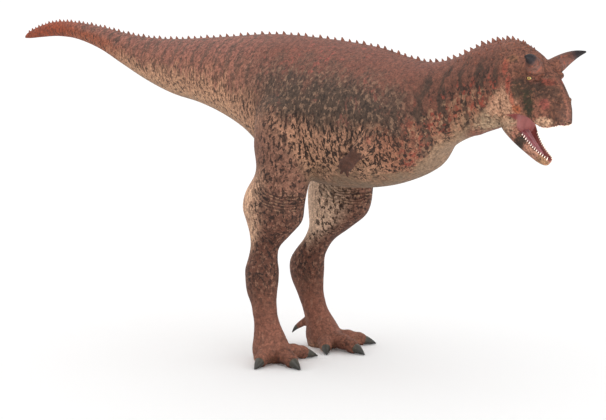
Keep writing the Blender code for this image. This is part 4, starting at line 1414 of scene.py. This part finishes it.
# How near the trunk and a leg must both be for their join to be evened out, and what spares the hands
JOIN_REACH = 0.09
HAND_SPARED = (0.10, 0.18)
EVEN_ROUNDS = 10
SOLE_LEVEL = 0.006
# The angle kept for the back of an eyeball, past every ring of the iris
BEHIND_EYE = 2.0
SPINE_SUNK = 0.012
SPINE_LEAN = 0.16
KNOB_SUNK = 0.006


def build_hide(finish):
    """The one closed hide over all the flesh."""
    hide = joined_hide()
    points = rows_of(hide.data.vertices, "co")
    apart = np.abs(trunk_distance(points)) + np.abs(leg_readings(points)[0])
    joins = np.exp(-((apart / JOIN_REACH) ** 2))
    from_hand = np.linalg.norm(folded(points) - np.array(HAND_ZOOM_AT), axis=1)
    even_out(hide, np.clip(0.25 + joins, 0, 1) * fade(from_hand, *HAND_SPARED), EVEN_ROUNDS)
    normals = rows_of(hide.data.vertices, "normal")
    points = swelled(rows_of(hide.data.vertices, "co"), normals)
    points = lidded(pierced(points, normals))
    points[:, 2] = np.where(points[:, 2] < SOLE_LEVEL, 0.0, points[:, 2])
    move(hide.data, points)
    keep_shares(hide.data, hide_shares(points), face_colours(points))
    dress(hide, finish, "skin", *FLESH)


def back_height(x):
    """The height of the middle of the back."""
    return max(point.z for point in upper_section(x))


def give_shares(data):
    """Gives a small piece of the hide the pigment of the hide that it grows from."""
    points = rows_of(data.attributes["straight"].data, "vector")
    shares = hide_shares(points)
    for name in ("mouth", "arm", "leg", "folds"):
        shares[name] = np.zeros(len(points))
    shares["spine"] = np.ones(len(points))
    keep_shares(data, shares, face_colours(points))


def build_spines(finish):
    """The row of small triangular spines from the tail's tip to the back of the head."""
    mesh = bmesh.new()
    # A wave of the count makes them a little uneven
    x, number = SPINE_FROM, 0
    while x < SPINE_TO:
        height = along_table(SPINE_HEIGHT, x) * (1.0 + 0.16 * math.sin(2.3 * number))
        slope = (back_height(x + 0.03) - back_height(x - 0.03)) / 0.06
        lean = Vector((-slope - SPINE_LEAN, 0, 1)).normalized()
        base = Vector((x, 0, back_height(x) - SPINE_SUNK))
        tip = base + lean * (height * 0.94 + SPINE_SUNK)
        spike(mesh, base, tip, height * 0.74, 7, 4, Vector((-0.25 * height, 0, 0)))
        x += along_table(SPINE_PITCH, x)
        number += 1
    spines = piece("back_spines", mesh, finish, "skin")
    give_shares(spines.data)


def build_knobs(finish):
    """The rows of small pale knobs along each side of the neck."""
    mesh = bmesh.new()
    for side in (-1, 1):
        for row, (level, first, last, pitch) in enumerate(KNOB_ROWS):
            for number, x in enumerate(np.arange(first, last, pitch)):
                section = upper_section(float(x))
                above = min(point.z for point in section) + 0.5 * KNOB_HEIGHT
                half = [p for p in section if p.y * side > 0 and p.z > above]
                low, high = min(p.z for p in half), max(p.z for p in half)
                target = low + (high - low) * (level + 0.012 * math.sin(3.1 * number + row))
                on = min(half, key=lambda p: abs(p.z - target))
                out = Vector((0, on.y * 1.3, on.z - (low + high) / 2)).normalized()
                height = KNOB_HEIGHT * (1 + 0.25 * math.sin(1.9 * number + row))
                tip = on + out * height
                spike(mesh, on - out * KNOB_SUNK, tip, KNOB_RADIUS, 7, 3, Vector((-0.004, 0, 0)))
    knobs = piece("neck_knobs", mesh, finish, "skin")
    give_shares(knobs.data)


def build_horns(finish):
    """The two brow horns, from inside their bosses to the tips."""
    for side, letter in ((-1, "r"), (1, "l")):
        mesh = bmesh.new()
        loft(mesh, round_sections(horn_line(side, HORN_BOSS - 0.10, 1.0, 48), 40))
        piece(f"horn_{letter}_keratin", mesh, finish, "horn", f"horn_{letter}")


def claw_sections(line, radius, length, bend, floor=None):
    """A curved claw on the end of a toe: its root sunk in the toe, its tip moved by the bend."""
    root, _ = line[-1]
    axis = (root - line[0][0]).normalized()
    claw = [(root - axis * CLAW_SUNK, radius)]
    for i in range(20):
        t = i / 19
        claw.append((root + axis * (length * t) + bend * t**1.7, radius * tapered(t, CLAW_TAPER)))
    return round_sections(claw, 20, floor)


def build_claws(finish):
    """Four claws on each foot, the three front ones just clear of the floor."""
    for letter, side, rows, toes in LEGS:
        claws = []
        for name, *toe in toes:
            line = toe_line(side, *toe, 9)[-2:]
            (before, _), (tip, radius) = line
            drop = tip.z + (tip - before).normalized().z * CLAW_LENGTH
            bend = Vector((0, 0, CLAW_CLEARANCE + 0.004 - drop))
            radius *= CLAW_SHARE
            claws.append((name, claw_sections(line, radius, CLAW_LENGTH, bend, CLAW_CLEARANCE)))
        line = hallux_line(rows, side)
        radius = line[-1][1] * HALLUX_CLAW_SHARE
        claws.append(("hallux", claw_sections(line, radius, HALLUX_CLAW_LENGTH, HALLUX_CLAW_BEND)))
        for name, sections in claws:
            mesh = bmesh.new()
            loft(mesh, sections)
            piece(f"claw_{name}_{letter}_keratin", mesh, finish, "claw", f"claw_{name}_{letter}")


def build_teeth(finish):
    """Small pointed teeth set inside the lips, a little uneven in length."""
    mesh = bmesh.new()
    for side in (-1, 1):
        first, last, count = UPPER_TEETH
        for i in range(count):
            x = first + (last - first) * i / (count - 1)
            _, _, lip, half, _, _ = reading(SKULL, x)
            length = TOOTH_LENGTH * (0.45 + 0.25 * math.sin(2.4 * i + 0.6 + side))
            base = Vector((x, side * half * 0.84, lip + TOOTH_SUNK))
            tip = Vector((x - 0.005, side * half * 0.83, lip - length))
            spike(mesh, base, tip, TOOTH_RADIUS, 8, 5, Vector((-0.004, 0, 0)))
        first, last, count = LOWER_TEETH
        for i in range(count):
            along = first + (last - first) * i / (count - 1)
            _, rim, _, half, _ = reading(JAW, along)
            length = TOOTH_LENGTH * (0.95 + 0.3 * math.sin(2.1 * i + side))
            base = jaw_point(along, side * half * 0.84, rim - TOOTH_SUNK)
            tip = jaw_point(along - 0.004, side * half * 0.80, rim + length)
            spike(mesh, base, tip, TOOTH_RADIUS * 0.9, 8, 5)
    piece("teeth", mesh, finish)


def build_tongue(finish):
    """The tongue, which lies along the trough of the open jaw."""
    mesh = bmesh.new()
    loft(mesh, [tongue_section(float(a)) for a in np.linspace(TONGUE[0][0], TONGUE[-1][0], 60)])
    piece("tongue_flesh", mesh, finish, "mouth", "tongue")


def build_eyes(finish):
    """Two eyeballs, each point with its angle from the way that the eye looks."""
    for side, letter in ((-1, "r"), (1, "l")):
        mesh = bmesh.new()
        centre = on_side(EYE, side)
        ball(mesh, centre, (EYE_RADIUS,) * 3, 36, 48)
        out = Vector(eye_axes(side)[2])
        off_axis = mesh.verts.layers.float.new("off_axis")
        for vertex in mesh.verts:
            facing = (vertex.co - centre).normalized().dot(out)
            vertex[off_axis] = math.acos(min(1, facing)) if facing > 0 else BEHIND_EYE
        piece(f"eye_{letter}_ball", mesh, finish, "eye", f"eye_{letter}")


# Floor, light and camera

# The camera, in the straight animal's space
CAMERA_PLACE = Vector((7.930, -8.050, 2.5))
CAMERA_AZIMUTH = math.radians(45)
CAMERA_PITCH = math.radians(5.5)
CAMERA_LENS = 71.3
# Lamps: name, place, size, power in watts
LAMPS = (
    ("key", (3.0, -6.0, 9.0), 7.0, 420),
    ("top", (-2.0, 1.0, 10.0), 9.0, 340),
    ("front", (4.8, -0.4, 0.95), 2.8, 88),
)
SKY_STRENGTH = 1.07
LAMPS_AIM = Vector((0, 0, 1.5))
FLOOR_RADIUS = 120


def build_studio(paper):
    """A white floor under a white sky, and three soft lamps."""
    mesh = bmesh.new()
    bmesh.ops.create_circle(mesh, cap_ends=True, segments=96, radius=FLOOR_RADIUS)
    data = bpy.data.meshes.new("studio_floor")
    mesh.to_mesh(data)
    mesh.free()
    data.materials.append(paper)
    floor = bpy.data.objects.new("studio_floor", data)
    bpy.context.scene.collection.objects.link(floor)
    world = bpy.data.worlds.new("studio")
    bpy.context.scene.world = world
    world.use_nodes = True
    sky = world.node_tree.nodes["Background"]
    sky.inputs["Color"].default_value = (1, 1, 1, 1)
    sky.inputs["Strength"].default_value = SKY_STRENGTH
    # The lamps shape the animal alone, and the sky leaves its own soft shadow on the paper
    lit = bpy.data.collections.new("lit")
    for shown in bpy.context.scene.objects:
        if shown.type == "MESH" and shown != floor:
            lit.objects.link(shown)
    for name, place, size, watts in LAMPS:
        light = bpy.data.lights.new(name, "AREA")
        light.size = size
        light.energy = watts
        lamp = bpy.data.objects.new(name, light)
        lamp.location = place
        lamp.rotation_euler = (LAMPS_AIM - Vector(place)).to_track_quat("-Z", "Y").to_euler()
        lamp.light_linking.receiver_collection = lit
        bpy.context.scene.collection.objects.link(lamp)
    bpy.context.scene.view_settings.view_transform = "Standard"


def build_camera():
    """The camera at the photograph's viewing angle."""
    camera = bpy.data.objects.new("camera", bpy.data.cameras.new("camera"))
    camera.data.lens = CAMERA_LENS
    camera.data.sensor_width = 36
    camera.data.clip_end = 400
    camera.location = CAMERA_PLACE + Vector(SHIFT)
    camera.rotation_euler = (math.pi / 2 - CAMERA_PITCH, 0, CAMERA_AZIMUTH)
    bpy.context.scene.collection.objects.link(camera)
    bpy.context.scene.camera = camera


def main():
    """Builds the pieces and the studio round them."""
    hide = reptile_hide()
    build_hide(hide)
    build_spines(hide)
    build_knobs(hide)
    build_horns(horn_keratin())
    build_claws(claw_keratin())
    build_teeth(tooth_enamel())
    build_tongue(tongue_flesh())
    build_eyes(eye_cornea())
    build_studio(studio_paper())
    build_camera()


main()
